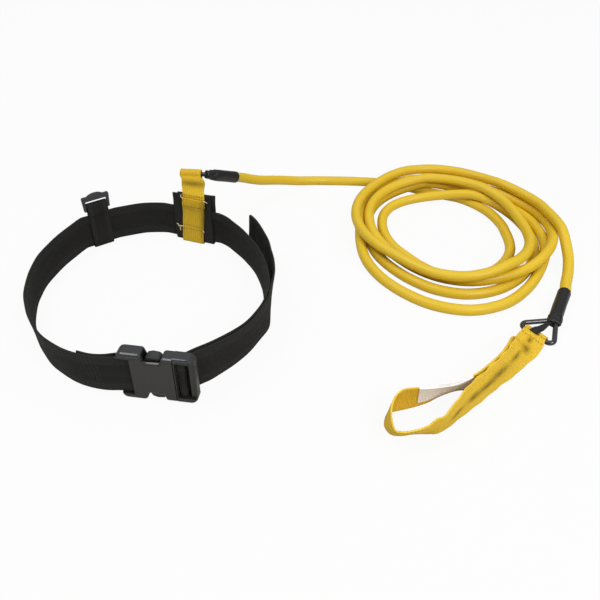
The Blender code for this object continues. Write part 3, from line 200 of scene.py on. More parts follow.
# Anchor strap: middle of the webbing and the way from its floor edge to its raised edge
ANCHOR_THICK = 0.0016
LAP_LENGTH = 0.009
FOLD_NARROWER = 0.0024  # by how much the webbing is gathered where it folds round the bar
TONGUE_OVER_WIRE = 0.0016
STRAP = [
    ((0.2124, -0.0576, 0.0069), (-0.64, 0.76, 0.1)),
    ((0.2054, -0.0666, 0.0059), (-0.675, 0.665, 0.31)),
    ((0.1985, -0.0762, 0.0095), (-0.513, 0.535, 0.669)),
    ((0.181, -0.0976, 0.0123), (-0.315, 0.347, 0.883)),
    ((0.1663, -0.1119, 0.0131), (-0.215, 0.244, 0.946)),
    ((0.1525, -0.1253, 0.0132), (-0.2, 0.213, 0.956)),
    ((0.14, -0.1372, 0.0134), (-0.16, 0.18, 0.97)),
    ((0.1292, -0.1485, 0.0136), (-0.065, 0.08, 0.995)),
    ((0.1189, -0.1603, 0.0137), (-0.12, -0.16, 0.98)),
    ((0.1129, -0.1662, 0.0135), (-0.13, -0.27, 0.95)),
    ((0.1072, -0.1691, 0.0136), (-0.12, -0.25, 0.96)),
    ((0.1003, -0.1717, 0.0127), (-0.11, -0.45, 0.89)),
    ((0.0892, -0.1735, 0.0117), (-0.07, -0.58, 0.81)),
    ((0.0792, -0.1752, 0.0117), (-0.02, -0.58, 0.81)),
    ((0.0726, -0.1738, 0.0117), (0.02, -0.58, 0.81)),
    ((0.0698, -0.1660, 0.0118), (0.11, -0.56, 0.82)),
    ((0.0708, -0.1550, 0.0126), (0.07, -0.44, 0.89)),
    ((0.0741, -0.1472, 0.0135), (0.10, -0.22, 0.97)),
    ((0.0795, -0.1426, 0.0138), (0.10, -0.05, 0.99)),
    ((0.0864, -0.1402, 0.0138), (0.03, -0.03, 1.0)),
    ((0.1038, -0.1360, 0.0136), (-0.05, -0.23, 0.97)),
    ((0.1172, -0.1299, 0.0128), (-0.09, -0.43, 0.90)),
    ((0.1320, -0.1243, 0.0124), (-0.12, -0.48, 0.86)),
    ((0.1480, -0.1193, 0.0132), (-0.10, -0.18, 0.98)),
    ((0.1643, -0.1100, 0.0132), (-0.19, 0.21, 0.96)),
    ((0.1783, -0.0970, 0.0124), (-0.31, 0.34, 0.89)),
    ((0.1886, -0.0842, 0.0112), (-0.42, 0.44, 0.79)),
    ((0.1966, -0.0733, 0.0084), (-0.53, 0.55, 0.62)),
    ((0.2048, -0.0658, 0.0044), (-0.60, 0.72, 0.30)),
]
LABEL_SPAN = (0.65, 0.785)  # shares of the loop's length
LABEL_HEIGHT = 0.020
LABEL_THICK = 0.0005
LABEL_GAP = 0.0003  # air between the label and the webbing
LABEL_RAISED = 0.0009  # how far the label's upper edge stands over the strap's raised edge
LABEL_FOLD_DEPTH, LABEL_FOLD_REACH = 0.0019, 0.0007

# Colours of small things that no property changes
DARK_THREAD = (0.20, 0.085, 0.010)
# The thread's darker cream is painted shade in the grooves of its twist
CREAM_THREAD, CREAM_THREAD_SHADE = (0.93, 0.84, 0.55), (0.62, 0.50, 0.22)
COATING, WORN_COATING = (0.012, 0.012, 0.013), (0.045, 0.043, 0.042)
# LABEL_FOLD is the painted shade along the label's creases
LABEL_WHITE, LABEL_WARM, LABEL_FOLD = (1.0, 0.99, 1.0), (0.97, 0.95, 0.96), (0.66, 0.60, 0.60)

# Camera of the photograph
EYE = Vector((0.0, -0.5311, 0.4228))
EYE_TILT = math.radians(51.9)
EYE_LENS = 41.22
EYE_SENSOR = 36.0

# Stage: floor, the share of it that the camera sees as white, lamps with their size and power,
# and the room's colour from its side to its top
FLOOR_REACH = 4.0
FLOOR_DEPTH = 0.0002
PAPER = (0.66, 0.66, 0.66)
PAPER_WHITE = 0.93
LAMPS = [("key", (-0.8, -0.1, 1.6), 0.7, 8.0), ("front", (0.95, -1.15, 1.3), 0.8, 17.0)]
ROOM = [(0.0, (0.20, 0.199, 0.197)), (0.4, (0.26, 0.2587, 0.2561)), (1.0, (1.0, 1.0, 1.0))]


class SwimBeltSizes(bpy.types.PropertyGroup):
    """Sizes that come from stock webbing and tube."""
    belt_width: FloatProperty(
        name="Belt width", description="Width of the waist webbing", default=BELT_WIDTH,
        min=0.02, max=0.06, unit="LENGTH", precision=4)
    tab_width: FloatProperty(
        name="Tab width", description="Width of the yellow tab that holds the ring",
        default=0.0254, min=0.015, max=0.04, unit="LENGTH", precision=4)
    keeper_width: FloatProperty(
        name="Keeper width", description="Width of the keeper's webbing", default=0.022,
        min=0.01, max=0.03, unit="LENGTH", precision=4)
    strap_width: FloatProperty(
        name="Anchor strap width", description="Width of the webbing of the anchor loop",
        default=0.0254, min=0.015, max=0.04, unit="LENGTH", precision=4)
    tube_diameter: FloatProperty(
        name="Tube diameter", description="Outside diameter of the latex tube", default=0.0111,
        min=0.006, max=0.014, unit="LENGTH", precision=4)


class SwimBeltColours(bpy.types.PropertyGroup):
    """Colours of the webbing, the mouldings, the sleeves and the tube."""
    belt: FloatVectorProperty(
        name="Belt webbing", description="Colour of the black webbing", subtype="COLOR", size=3,
        default=(0.0095, 0.0093, 0.0085), min=0.0, max=1.0)
    strap: FloatVectorProperty(
        name="Yellow webbing", description="Colour of the tab and the anchor strap",
        subtype="COLOR", size=3, default=(0.93, 0.62, 0.035), min=0.0, max=1.0)
    plastic: FloatVectorProperty(
        name="Mouldings", description="Colour of the buckle and the ladder lock",
        subtype="COLOR", size=3, default=(0.017, 0.0155, 0.0112), min=0.0, max=1.0)
    rubber: FloatVectorProperty(
        name="Sleeves", description="Colour of the rubber sleeves and of the tongue",
        subtype="COLOR", size=3, default=(0.008, 0.008, 0.0085), min=0.0, max=1.0)
    latex: FloatVectorProperty(
        name="Tube", description="Colour of the latex tube", subtype="COLOR", size=3,
        default=(0.745, 0.508, 0.0215), min=0.0, max=1.0)


class Value:
    """An output socket, on which arithmetic adds Math nodes."""

    def __init__(self, nodes, socket):
        self.nodes = nodes
        self.socket = socket

    def math(self, operation, *others):
        """A Math node with this value first."""
        return self.nodes.node("ShaderNodeMath", {"operation": operation}, [self, *others])

    def flipped(self, operation, other):
        """A Math node with this value last."""
        return self.nodes.node("ShaderNodeMath", {"operation": operation}, [other, self])

    def __add__(self, other):
        return self.math("ADD", other)

    def __radd__(self, other):
        return self.flipped("ADD", other)

    def __sub__(self, other):
        return self.math("SUBTRACT", other)

    def __rsub__(self, other):
        return self.flipped("SUBTRACT", other)

    def __mul__(self, other):
        return self.math("MULTIPLY", other)

    def __rmul__(self, other):
        return self.flipped("MULTIPLY", other)

    def __truediv__(self, other):
        return self.math("DIVIDE", other)

    def __rtruediv__(self, other):
        return self.flipped("DIVIDE", other)

    def __pow__(self, other):
        return self.math("POWER", other)

    def __neg__(self):
        return self.math("MULTIPLY", -1.0)

    def __abs__(self):
        return self.math("ABSOLUTE")


class Nodes:
    """The node tree of a material or of the world."""

    def __init__(self, tree):
        self.tree = tree

    def node(self, kind, settings=None, inputs=(), out=0):
        """Add one node. Settings come first, then the values or links of its sockets."""
        made = self.tree.nodes.new(kind)
        for key, value in (settings or {}).items():
            if key == "stops":
                ramp = made.color_ramp.elements
                while len(ramp) < len(value):
                    ramp.new(0.5)
                for element, (place, colour) in zip(ramp, value):
                    element.position = place
                    element.color = (*colour, 1.0)
            else:
                setattr(made, key, value)
        pairs = inputs.items() if isinstance(inputs, dict) else enumerate(inputs)
        for key, value in pairs:
            if isinstance(value, Value):
                self.tree.links.new(value.socket, made.inputs[key])
            else:
                made.inputs[key].default_value = value
        return Value(self, made.outputs[out])

    def split(self, vector):
        """The X, Y and Z of a vector."""
        made = self.tree.nodes.new("ShaderNodeSeparateXYZ")
        self.tree.links.new(vector.socket, made.inputs[0])
        return [Value(self, socket) for socket in made.outputs]

    def join(self, x=0.0, y=0.0, z=0.0):
        """A vector of three values."""
        return self.node("ShaderNodeCombineXYZ", None, [x, y, z])

    def show(self, plain, seen, output, share=1.0):
        """Show the camera a share of one shader, and everything else the other."""
        camera_ray = self.node("ShaderNodeLightPath")
        mixed = self.node("ShaderNodeMixShader", None, [camera_ray * share, plain, seen])
        self.tree.links.new(mixed.socket, self.tree.nodes[output].inputs[0])


class Finish(Nodes):
    """One material: a Principled shader and the nodes that vary over its surface."""

    def __init__(self, name, **fixed):
        self.material = bpy.data.materials.new(name)
        self.material.use_nodes = True
        super().__init__(self.material.node_tree)
        self.shader = self.tree.nodes["Principled BSDF"]
        for socket, value in fixed.items():
            self.shader.inputs[socket.replace("_", " ")].default_value = value

    def feed(self, socket, value):
        """Link a value to the shader."""
        self.tree.links.new(value.socket, self.shader.inputs[socket])

    def run(self):
        """Millimetres along and across a piece, from its own UV map."""
        return self.split(self.node("ShaderNodeUVMap", {"uv_map": "run"}))[:2]

    def place(self):
        """Object coordinates, in metres."""
        return self.node("ShaderNodeTexCoord", out=3)

    def noise(self, vector, scale, detail=2.0, roughness=0.5):
        """Cloudy noise from 0 to 1."""
        return self.node("ShaderNodeTexNoise", {"noise_dimensions": "3D"},
                         {"Vector": vector, "Scale": scale, "Detail": detail,
                          "Roughness": roughness})

    def step(self, value, low, high, first=0.0, last=1.0):
        """Smooth change from first to last while value goes from low to high."""
        return self.node("ShaderNodeMapRange", {"interpolation_type": "SMOOTHSTEP"},
                         [value, low, high, first, last])

    def mix(self, share, a, b):
        """Mix two colours."""
        colours = [(*c, 1.0) if isinstance(c, tuple) and len(c) == 3 else c for c in (a, b)]
        return self.node("ShaderNodeMix", {"data_type": "RGBA"},
                         {0: share, 6: colours[0], 7: colours[1]}, out=2)

    def bump(self, height, distance, strength):
        """A normal that follows a height, given in metres by distance."""
        return self.node("ShaderNodeBump", None,
                         {"Strength": strength, "Distance": distance, "Height": height})


def scaled(colour, share):
    """A colour made lighter or darker."""
    return toned(colour, share, share, share)


def toned(colour, red, green, blue):
    """A colour with a share of each of its parts."""
    return tuple(min(1.0, part * share) for part, share in zip(colour, (red, green, blue)))


def spline(knots, step, width=3):
    """Centripetal curve through the knots, cut about every step. Knots may carry more values."""
    pts = np.array(knots, float)
    pts = np.vstack([2 * pts[0] - pts[1], pts, 2 * pts[-1] - pts[-2]])
    gaps = np.linalg.norm(np.diff(pts[:, :width], axis=0), axis=1)
    t = np.concatenate([[0.0], np.cumsum(np.sqrt(gaps))])
    out = []
    for i in range(1, len(pts) - 2):
        p0, p1, p2, p3 = pts[i - 1:i + 3]
        t0, t1, t2, t3 = t[i - 1:i + 3]
        count = max(1, round(gaps[i] / step))
        for u in np.linspace(t1, t2, count, endpoint=False):
            a1 = ((t1 - u) * p0 + (u - t0) * p1) / (t1 - t0)
            a2 = ((t2 - u) * p1 + (u - t1) * p2) / (t2 - t1)
            a3 = ((t3 - u) * p2 + (u - t2) * p3) / (t3 - t2)
            b1 = ((t2 - u) * a1 + (u - t0) * a2) / (t2 - t0)
            b2 = ((t3 - u) * a2 + (u - t1) * a3) / (t3 - t1)
            out.append(((t2 - u) * b1 + (u - t1) * b2) / (t2 - t1))
    out.append(pts[-2])
    return np.array(out)


def running(points):
    """Length along a line at each of its points."""
    return np.concatenate([[0.0], np.cumsum(np.linalg.norm(np.diff(points, axis=0), axis=1))])


def on_line(group, along, side=0.0):
    """A plan place in the frame of the buckle, the slider or the keeper."""
    x, y, turn = group
    c, s = math.cos(turn), math.sin(turn)
    return x + c * along - s * side, y + s * along + c * side


def in_group(group, x, y, z):
    """A place in the frame of the buckle, the slider or the keeper."""
    return Vector((*on_line(group, x, y), z))


def ribbon_frames(points, ways):
    """Middle, way across, way through and length run, at each station of a strap."""
    points = np.array(points, float)
    heading = np.gradient(points, axis=0)
    run = running(points)
    out = []
    for point, way, ahead, length in zip(points, ways, heading, run):
        across = Vector(way).normalized()
        deep = Vector(ahead).cross(across).normalized()
        out.append((Vector(point), across, deep, length))
    return out


def tube_frames(points, level=(0.0, 0.0, 1.0), closed=False):
    """The same for a tube, whose section is carried along without twist."""
    points = np.array(points, float)
    if closed:
        heading = np.roll(points, -1, axis=0) - np.roll(points, 1, axis=0)
    else:
        heading = np.gradient(points, axis=0)
    run = running(points)
    across = Vector(heading[0]).cross(Vector(level)).normalized()
    out = []
    for point, ahead, length in zip(points, heading, run):
        ahead = Vector(ahead).normalized()
        across = (across - ahead * across.dot(ahead)).normalized()
        out.append((Vector(point), across, ahead.cross(across), length))
    return out


def strap_outline(width, thick, bend=None, relief=None, cuts=12):
    """Closed section of webbing: two faces and two rounded edges, with V in millimetres."""
    half = width / 2
    edge = thick / 2
    inner = half - edge * 0.8
    xs = [inner * (2 * k / cuts - 1) for k in range(cuts + 1)]
    out = [(x, edge - (relief(x) if relief else 0.0), x) for x in xs]
    out += [(half - 0.25 * edge, 0.72 * edge, half), (half, 0.0, half),
            (half - 0.25 * edge, -0.72 * edge, half)]
    out += [(x, -edge + (relief(x) if relief else 0.0), x) for x in reversed(xs)]
    out += [(-half + 0.25 * edge, -0.72 * edge, -half), (-half, 0.0, -half),
            (-half + 0.25 * edge, 0.72 * edge, -half)]
    out.append(out[0])
    if bend:
        out = [(x, y + bend(x), v) for x, y, v in out]
    return [(x, y, v / MM) for x, y, v in out]


def round_outline(radius, sides):
    """Closed section of a round rod, with V in millimetres."""
    out = []
    for k in range(sides + 1):
        a = TAU * k / sides
        out.append((radius * math.cos(a), radius * math.sin(a), a * radius / MM))
    return out


def swept(name, frames, outlines, closed=False):
    """A grid wrapped round the stations, one closed outline at each, with its ends filled."""
    rows, cols = len(frames), len(outlines[0]) - 1
    last = rows if closed else rows - 1
    bm = bmesh.new()
    uv = bm.loops.layers.uv.new("run")
    bmesh.ops.create_grid(bm, x_segments=last, y_segments=cols, size=1.0)
    spots = {}
    total = frames[-1][3] + (frames[0][0] - frames[-1][0]).length
    for vert in bm.verts:
        i = round((vert.co.x + 1) / 2 * last)
        j = round((vert.co.y + 1) / 2 * cols)
        middle, across, deep, run = frames[i % rows]
        x, y, v = (float(c) for c in outlines[i % rows][j])
        if closed and i == rows:
            run = total
        vert.co = middle + x * across + y * deep + SHIFT
        spots[vert.index] = (run / MM, v)
    for face in bm.faces:
        for loop in face.loops:
            loop[uv].uv = spots[loop.vert.index]
    bmesh.ops.remove_doubles(bm, verts=bm.verts, dist=1e-7)
    rim = [edge for edge in bm.edges if edge.is_boundary]
    if rim:
        bmesh.ops.holes_fill(bm, edges=rim, sides=0)
    bmesh.ops.recalc_face_normals(bm, faces=bm.faces)
    return piece(name, bm)


def rod(name, line, radius, sides, level=(0.0, 0.0, 1.0), closed=False):
    """A round rod along a line: tube, wire, lip or thread."""
    frames = tube_frames(line, level, closed)
    return swept(name, frames, [round_outline(radius, sides)] * len(frames), closed)


def piece(name, bm):
    """Turn a bmesh into an object of the scene, smooth but for its sharp edges."""
    mesh = bpy.data.meshes.new(name)
    bm.to_mesh(mesh)
    bm.free()
    mesh.shade_smooth()
    mesh.set_sharp_from_angle(angle=SHARP_ANGLE)
    made = bpy.data.objects.new(name, mesh)
    bpy.context.scene.collection.objects.link(made)
    return made


def dressed(made, finish, body=None, replaces=()):
    """Give a piece its finish, its body and the solids that it stands for."""
    made.data.materials.clear()
    made.data.materials.append(finish.material)
    if body:
        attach(made, body)
    if replaces:
        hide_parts(*replaces)
    return made


def painted(node, finish):
    """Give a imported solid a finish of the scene."""
    for slot in frame["nodes"][node].material_slots:
        slot.material = finish.material


FINISHES = {}


def finish_of(name, maker, *values):
    """Make a finish once and hand it out after that."""
    if name not in FINISHES:
        FINISHES[name] = maker(name, *values)
    return FINISHES[name]


def stitches(f, u, v, rows, low, high, pitch=2.6, slope=0.0):
    """Rows of thread that cross the strap at the given places along it."""
    loose = f.noise(f.join(u * 0.35, v * 0.5, 5.0), 1.0, 2.0)
    dash = (f.step(abs((v / pitch).math("FRACT") - 0.5), 0.24, 0.36, 1.0, 0.0)
            * f.step(loose, 0.36, 0.46))
    u = u + (loose - 0.5) * 0.9
    inside = f.step(v, low - 0.3, low + 0.3) * f.step(v, high - 0.3, high + 0.3, 1.0, 0.0)
    mask = None
    for row in rows:
        line = f.step(abs(u - row - v * slope), 0.35, 0.65, 1.0, 0.0)
        mask = line if mask is None else mask.math("MAXIMUM", line)
    return mask * dash * inside


def woven(u, v, warp, weft):
    """Height of a plain weave, with half a thread's shift from one crossing to the next."""
    row = (u / weft).math("FLOOR")
    thread = ((v / warp + row * 0.5) * TAU).math("COSINE") * 0.5 + 0.5
    pick = ((u / weft).math("FRACT") * math.pi).math("SINE")
    return thread * pick


def belt_finish(name, colour, half_width, sewn=None, hem=None, deep=()):
    """Black webbing: slanted ribs in the two edge bands and a plainer, darker middle.

    Places along it are in millimetres: the middle of the sewn rows, the hem, and the shaded
    stretches with their reach.
    """
    f = Finish(name, Specular_IOR_Level=0.22)
    u, v = f.run()
    half = half_width / MM
    band = f.step(abs(v), half * 0.50, half * 0.58)
    slant = ((u / 1.55 + abs(v) * 0.62) * TAU).math("SINE") * 0.5 + 0.5
    plain = woven(u, v, 1.15, 1.3)
    height = slant * band + plain * (1.0 - band) * 0.55
    wander = f.noise(f.join(u * 0.02, v * 0.09, 0.0), 1.0, 3.0)
    fuzz = f.noise(f.join(u * 0.7, v * 1.4, 0.0), 1.0, 2.0)
    tint = f.mix(band, scaled(colour, 0.72), scaled(colour, 1.9))
    tint = f.mix(wander * 0.8, tint, scaled(colour, 2.3))
    # Painted highlight: the raised threads of the weave are paler
    tint = f.mix(height * 0.35, tint, scaled(colour, 3.0))
    rough = 0.72 + fuzz * 0.2
    if sewn is not None:
        rows = [sewn - 5.4, sewn - 1.8, sewn + 1.8, sewn + 5.4]
        thread = stitches(f, u, v, rows, -half * 0.86, half * 0.86, 3.0, 0.13)
        height = height * (1.0 - thread) + thread * 1.9
        tint = f.mix(thread * 0.8, tint, scaled(colour, 4.2))
    if hem is not None:
        thread = stitches(f, u, v, [hem], -half * 0.9, half * 0.9, 2.6)
        height = height * (1.0 - thread) + thread * 1.7
        tint = f.mix(thread * 0.8, tint, scaled(colour, 4.0))
    for middle, reach in deep:
        shade = f.step(abs(u - middle), reach * 0.7, reach * 1.3, 1.0, 0.0)
        tint = f.mix(shade * 0.85, tint, scaled(colour, 0.12))
    f.feed("Base Color", tint)
    f.feed("Roughness", rough)
    f.feed("Normal", f.bump(height + fuzz * 0.4, 0.00035, 0.8))
    return f


def yellow_finish(name, colour, half_width, rows=(), shade_patches=(), ribs=0.0):
    """Yellow webbing: coarse plain weave with painted shade in its hollows, with rows of dark
    stitching.

    Rows are places along it in millimetres. A painted shade patch has its place and reach along,
    then across.
    """
    f = Finish(name, Specular_IOR_Level=0.2)
    u, v = f.run()
    half = half_width / MM
    plain = woven(u, v, 1.35, 1.6)
    fuzz = f.noise(f.join(u * 0.9, v * 1.6, 0.0), 1.0, 3.0, 0.6)
    wander = f.noise(f.join(u * 0.05, v * 0.16, 0.3), 1.0, 2.0)
    edge = f.step(abs(v), half - 1.5, half - 0.3)
    # Painted shade: the hollows of the weave are darker than its ridges
    tint = f.mix(1.0 - plain, scaled(colour, 1.04), toned(colour, 0.74, 0.70, 0.5))
    tint = f.mix(wander * 0.55, tint, toned(colour, 0.86, 0.80, 0.6))
    tint = f.mix(fuzz * 0.30, tint, toned(colour, 1.12, 1.12, 2.2))
    grain = f.noise(f.join(u * 0.55, v * 0.5, 7.0), 1.0, 2.0, 0.7)
    tint = f.mix(f.step(grain, 0.46, 0.66) * 0.42, tint, toned(colour, 0.62, 0.56, 0.4))
    tint = f.mix(edge * 0.25, tint, toned(colour, 1.1, 1.15, 2.5))
    height = plain + grain * 1.2
    if ribs:
        rib = ((v / 2.3) * TAU).math("SINE") * 0.5 + 0.5
        # Painted shade in the grooves between the ribs
        tint = f.mix(rib * (0.3 + fuzz) * ribs, tint, toned(colour, 0.42, 0.36, 0.3))
        height = height - rib * 0.8
    if rows:
        thread = stitches(f, u, v, list(rows), -half * 0.88, half * 0.88, 2.9)
        height = height * (1.0 - thread) + thread * 1.6
        tint = f.mix(thread * 0.75, tint, DARK_THREAD)
    # Painted shade in the dents and creases of the webbing
    for middle, reach, off, wide in shade_patches:
        far = ((u - middle) / reach) ** 2.0 + ((v - off + wander * 2.0) / wide) ** 2.0
        shade = (-far).math("EXPONENT")
        tint = f.mix(shade * (0.42 + grain * 0.9), tint,
                     (colour[0] * 0.24, colour[1] * 0.22, 0.004))
    f.feed("Base Color", tint)
    f.feed("Roughness", 0.62 + fuzz * 0.2)
    f.feed("Normal", f.bump(height + fuzz * 0.5, 0.00045, 0.85))
    return f


def plastic_finish(name, colour, sheen_top):
    """Moulded acetal: fine spark texture, a little flow variation, glossier on top faces, which
    carry a painted blue-grey reflection.
    """
    f = Finish(name)
    place = f.place()
    grain = f.noise(place, 2600.0, 2.0, 0.6)
    flow = f.noise(place, 42.0, 3.0, 0.55)
    # Painted reflection: above these heights the top faces are tinted paler blue-grey, as though
    # they mirror the sky
    top = f.step(f.split(place)[2], *sheen_top)
    tint = f.mix(flow, scaled(colour, 0.8), scaled(colour, 1.35))
    tint = f.mix(top, tint, toned(colour, 1.7, 1.95, 3.0))
    f.feed("Base Color", tint)
    f.feed("Roughness", f.step(flow, 0.3, 0.7, 0.26, 0.36) - top * 0.06)
    f.feed("Normal", f.bump(grain + flow * 0.8, 0.00006, 0.5))
    return f


def edge_finish(name, colour):
    """Smooth rolled edge of a moulding, painted paler than the body in patches as a painted
    highlight.
    """
    f = Finish(name, Roughness=0.55)
    glint = f.noise(f.place(), 150.0, 2.0)
    # Painted highlight: the lips are paler than the moulding they run along
    f.feed("Base Color", f.mix(glint, scaled(colour, 0.9), scaled(colour, 1.8)))
    return f


def rubber_finish(name, colour):
    """Shrunk rubber sleeve: faint streaks along it and a soft gloss."""
    f = Finish(name, Specular_IOR_Level=0.4)
    u, v = f.run()
    streak = f.noise(f.join(u * 0.035, v * 0.55, 0.0), 1.0, 3.0, 0.6)
    grain = f.noise(f.join(u * 1.7, v * 1.7, 0.0), 1.0, 2.0)
    tint = f.mix(streak, scaled(colour, 0.75), scaled(colour, 1.7))
    f.feed("Base Color", tint)
    f.feed("Roughness", f.step(streak, 0.3, 0.7, 0.30, 0.46))
    f.feed("Normal", f.bump(streak + grain * 0.35, 0.00022, 0.6))
    return f


def wire_finish(name):
    """Dipped gloss coating on steel wire, with small scuffs."""
    f = Finish(name, Coat_Roughness=0.12)
    u, v = f.run()
    scuff = f.noise(f.join(u * 0.35, v * 0.9, 0.0), 1.0, 4.0, 0.65)
    worn = f.step(scuff, 0.60, 0.72)
    f.feed("Base Color", f.mix(worn * 0.5, COATING, WORN_COATING))
    f.feed("Roughness", 0.22 + worn * 0.3)
    f.feed("Coat Weight", 0.7 - worn * 0.5)
    f.feed("Normal", f.bump(scuff, 0.0001, 0.5))
    return f


def latex_finish(name, colour):
    """Dipped latex: even warm yellow, slightly cloudy, with faint draw lines along the tube."""
    f = Finish(name, Specular_IOR_Level=0.38)
    u, v = f.run()
    cloud = f.noise(f.join(u * 0.018, v * 0.06, 0.0), 1.0, 3.0)
    line = f.noise(f.join(u * 0.012, v * 0.75, 2.0), 1.0, 2.0)
    speck = f.noise(f.join(u * 0.8, v * 0.8, 0.0), 1.0, 3.0, 0.7)
    tint = f.mix(cloud, toned(colour, 0.92, 0.88, 0.75), toned(colour, 1.06, 1.08, 1.4))
    tint = f.mix(f.step(speck, 0.62, 0.80) * 0.35, tint, toned(colour, 0.78, 0.66, 0.5))
    f.feed("Base Color", tint)
    f.feed("Roughness", f.step(line, 0.3, 0.7, 0.36, 0.5))
    f.feed("Normal", f.bump(line + speck * 0.3, 0.00012, 0.4))
    return f


def thread_finish(name):
    """Cream sewing thread with its twist, painted darker in the twist's grooves as shade."""
    f = Finish(name, Specular_IOR_Level=0.2)
    u, v = f.run()
    twist = ((u * 1.6 + v * 1.2) * TAU).math("SINE") * 0.5 + 0.5
    f.feed("Base Color", f.mix(twist, CREAM_THREAD_SHADE, CREAM_THREAD))
    f.feed("Roughness", 0.7 + twist * 0.1)
    f.feed("Normal", f.bump(twist, 0.0001, 0.6))
    return f


def label_finish(name):
    """Blank woven label, slightly grey and creased, with painted shade along its creases."""
    f = Finish(name)
    u, v = f.run()
    fine = woven(u, v, 0.5, 0.5)
    crease = f.noise(f.join(u * 0.07, v * 0.30, 1.0), 1.0, 3.0)
    # Painted shade along the fold lines of the creases
    fold = f.step(abs(crease - 0.5), 0.0, 0.05, 1.0, 0.0)
    tint = f.mix(crease, LABEL_WARM, LABEL_WHITE)
    tint = f.mix(fold * 0.25, tint, LABEL_FOLD)
    f.feed("Base Color", tint)
    f.feed("Roughness", 0.75 + fine * 0.1)
    f.feed("Normal", f.bump(fine * 0.4 + crease * 2.0, 0.0003, 0.7))
    return f


def colours():
    """The colours that the panel shows, as plain tuples."""
    made = bpy.context.scene.swim_belt_colours
    return {key: tuple(getattr(made, key)) for key in SwimBeltColours.__annotations__}


def sizes():
    """The sizes that the panel shows."""
    return bpy.context.scene.swim_belt_sizes


def moulded():
    """The finish of the buckle, the lock and the plugs."""
    return finish_of("moulded acetal", plastic_finish, colours()["plastic"], SHEEN_TOP)


def shrunk_rubber():
    """The finish of the sleeves and the tongue."""
    return finish_of("shrunk rubber", rubber_finish, colours()["rubber"])


def belt_line():
    """The one run of webbing: sewn end, socket bar, round the ring, insert, and the free tail."""
    base = BELT_BASE_AT_BUCKLE
    wrap = 0.0013
    diagonal = wrap * math.sqrt(0.5)
    front, back, bar_right, bar_left = -0.0034, 0.0034, -0.017, -0.021
    turn_x = bar_right + wrap
    socket = [
        (-0.045, front + 0.0002), (-0.033, 0.0009), (-0.0255, back - 0.0001), (bar_left, back),
        (bar_right, back), (bar_right + diagonal, 0.0021 + diagonal), (turn_x, 0.0021),
        (turn_x, -0.0021), (bar_right + diagonal, -0.0021 - diagonal), (bar_right, front),
        (-0.0215, front), (-0.033, front - 0.0008),
    ]
    slot_1 = 0.0176
    slot_2 = 0.0216 + wrap
    trim = -0.0015
    ladder = [
        (0.0345, 0.0223), (0.0279, 0.0162), (0.0224, 0.0106), (0.0192, 0.0066),
        (slot_1, 0.0024), (slot_1, trim), (0.0189 - diagonal, trim - diagonal),
        (0.0189, trim - wrap), (0.0216, trim - wrap), (0.0216 + diagonal, trim - diagonal),
        (slot_2, trim), (slot_2 + 0.0001, 0.0020), (slot_2 + 0.0013, 0.0052), (0.027, 0.010),
        (0.0303, 0.0132), (0.0366, 0.019),
    ]
    knots = list(SEWN_END)
    knots += [(*on_line(BUCKLE, x, y), base, 0.0) for x, y in socket]
    knots += RING_LEFT
    knots += [(*on_line(KEEPER, x), KEEPER_BASE, 0.0) for x in KEEPER_KNOTS]
    knots += RING_RIGHT
    knots += [(*on_line(SLIDER, x), SLIDER_BASE, 0.0) for x in SLIDER_KNOTS]
    knots += RING_NEAR
    knots += [(*on_line(BUCKLE, x, y), base, 0.0) for x, y in ladder]
    knots += TAIL
    return spline(knots, BELT_STEP, width=2)


def nearest(points, place):
    """The station of a line that is nearest to a plan place."""
    return int(np.argmin(np.linalg.norm(points[:, :2] - np.array(place), axis=1)))


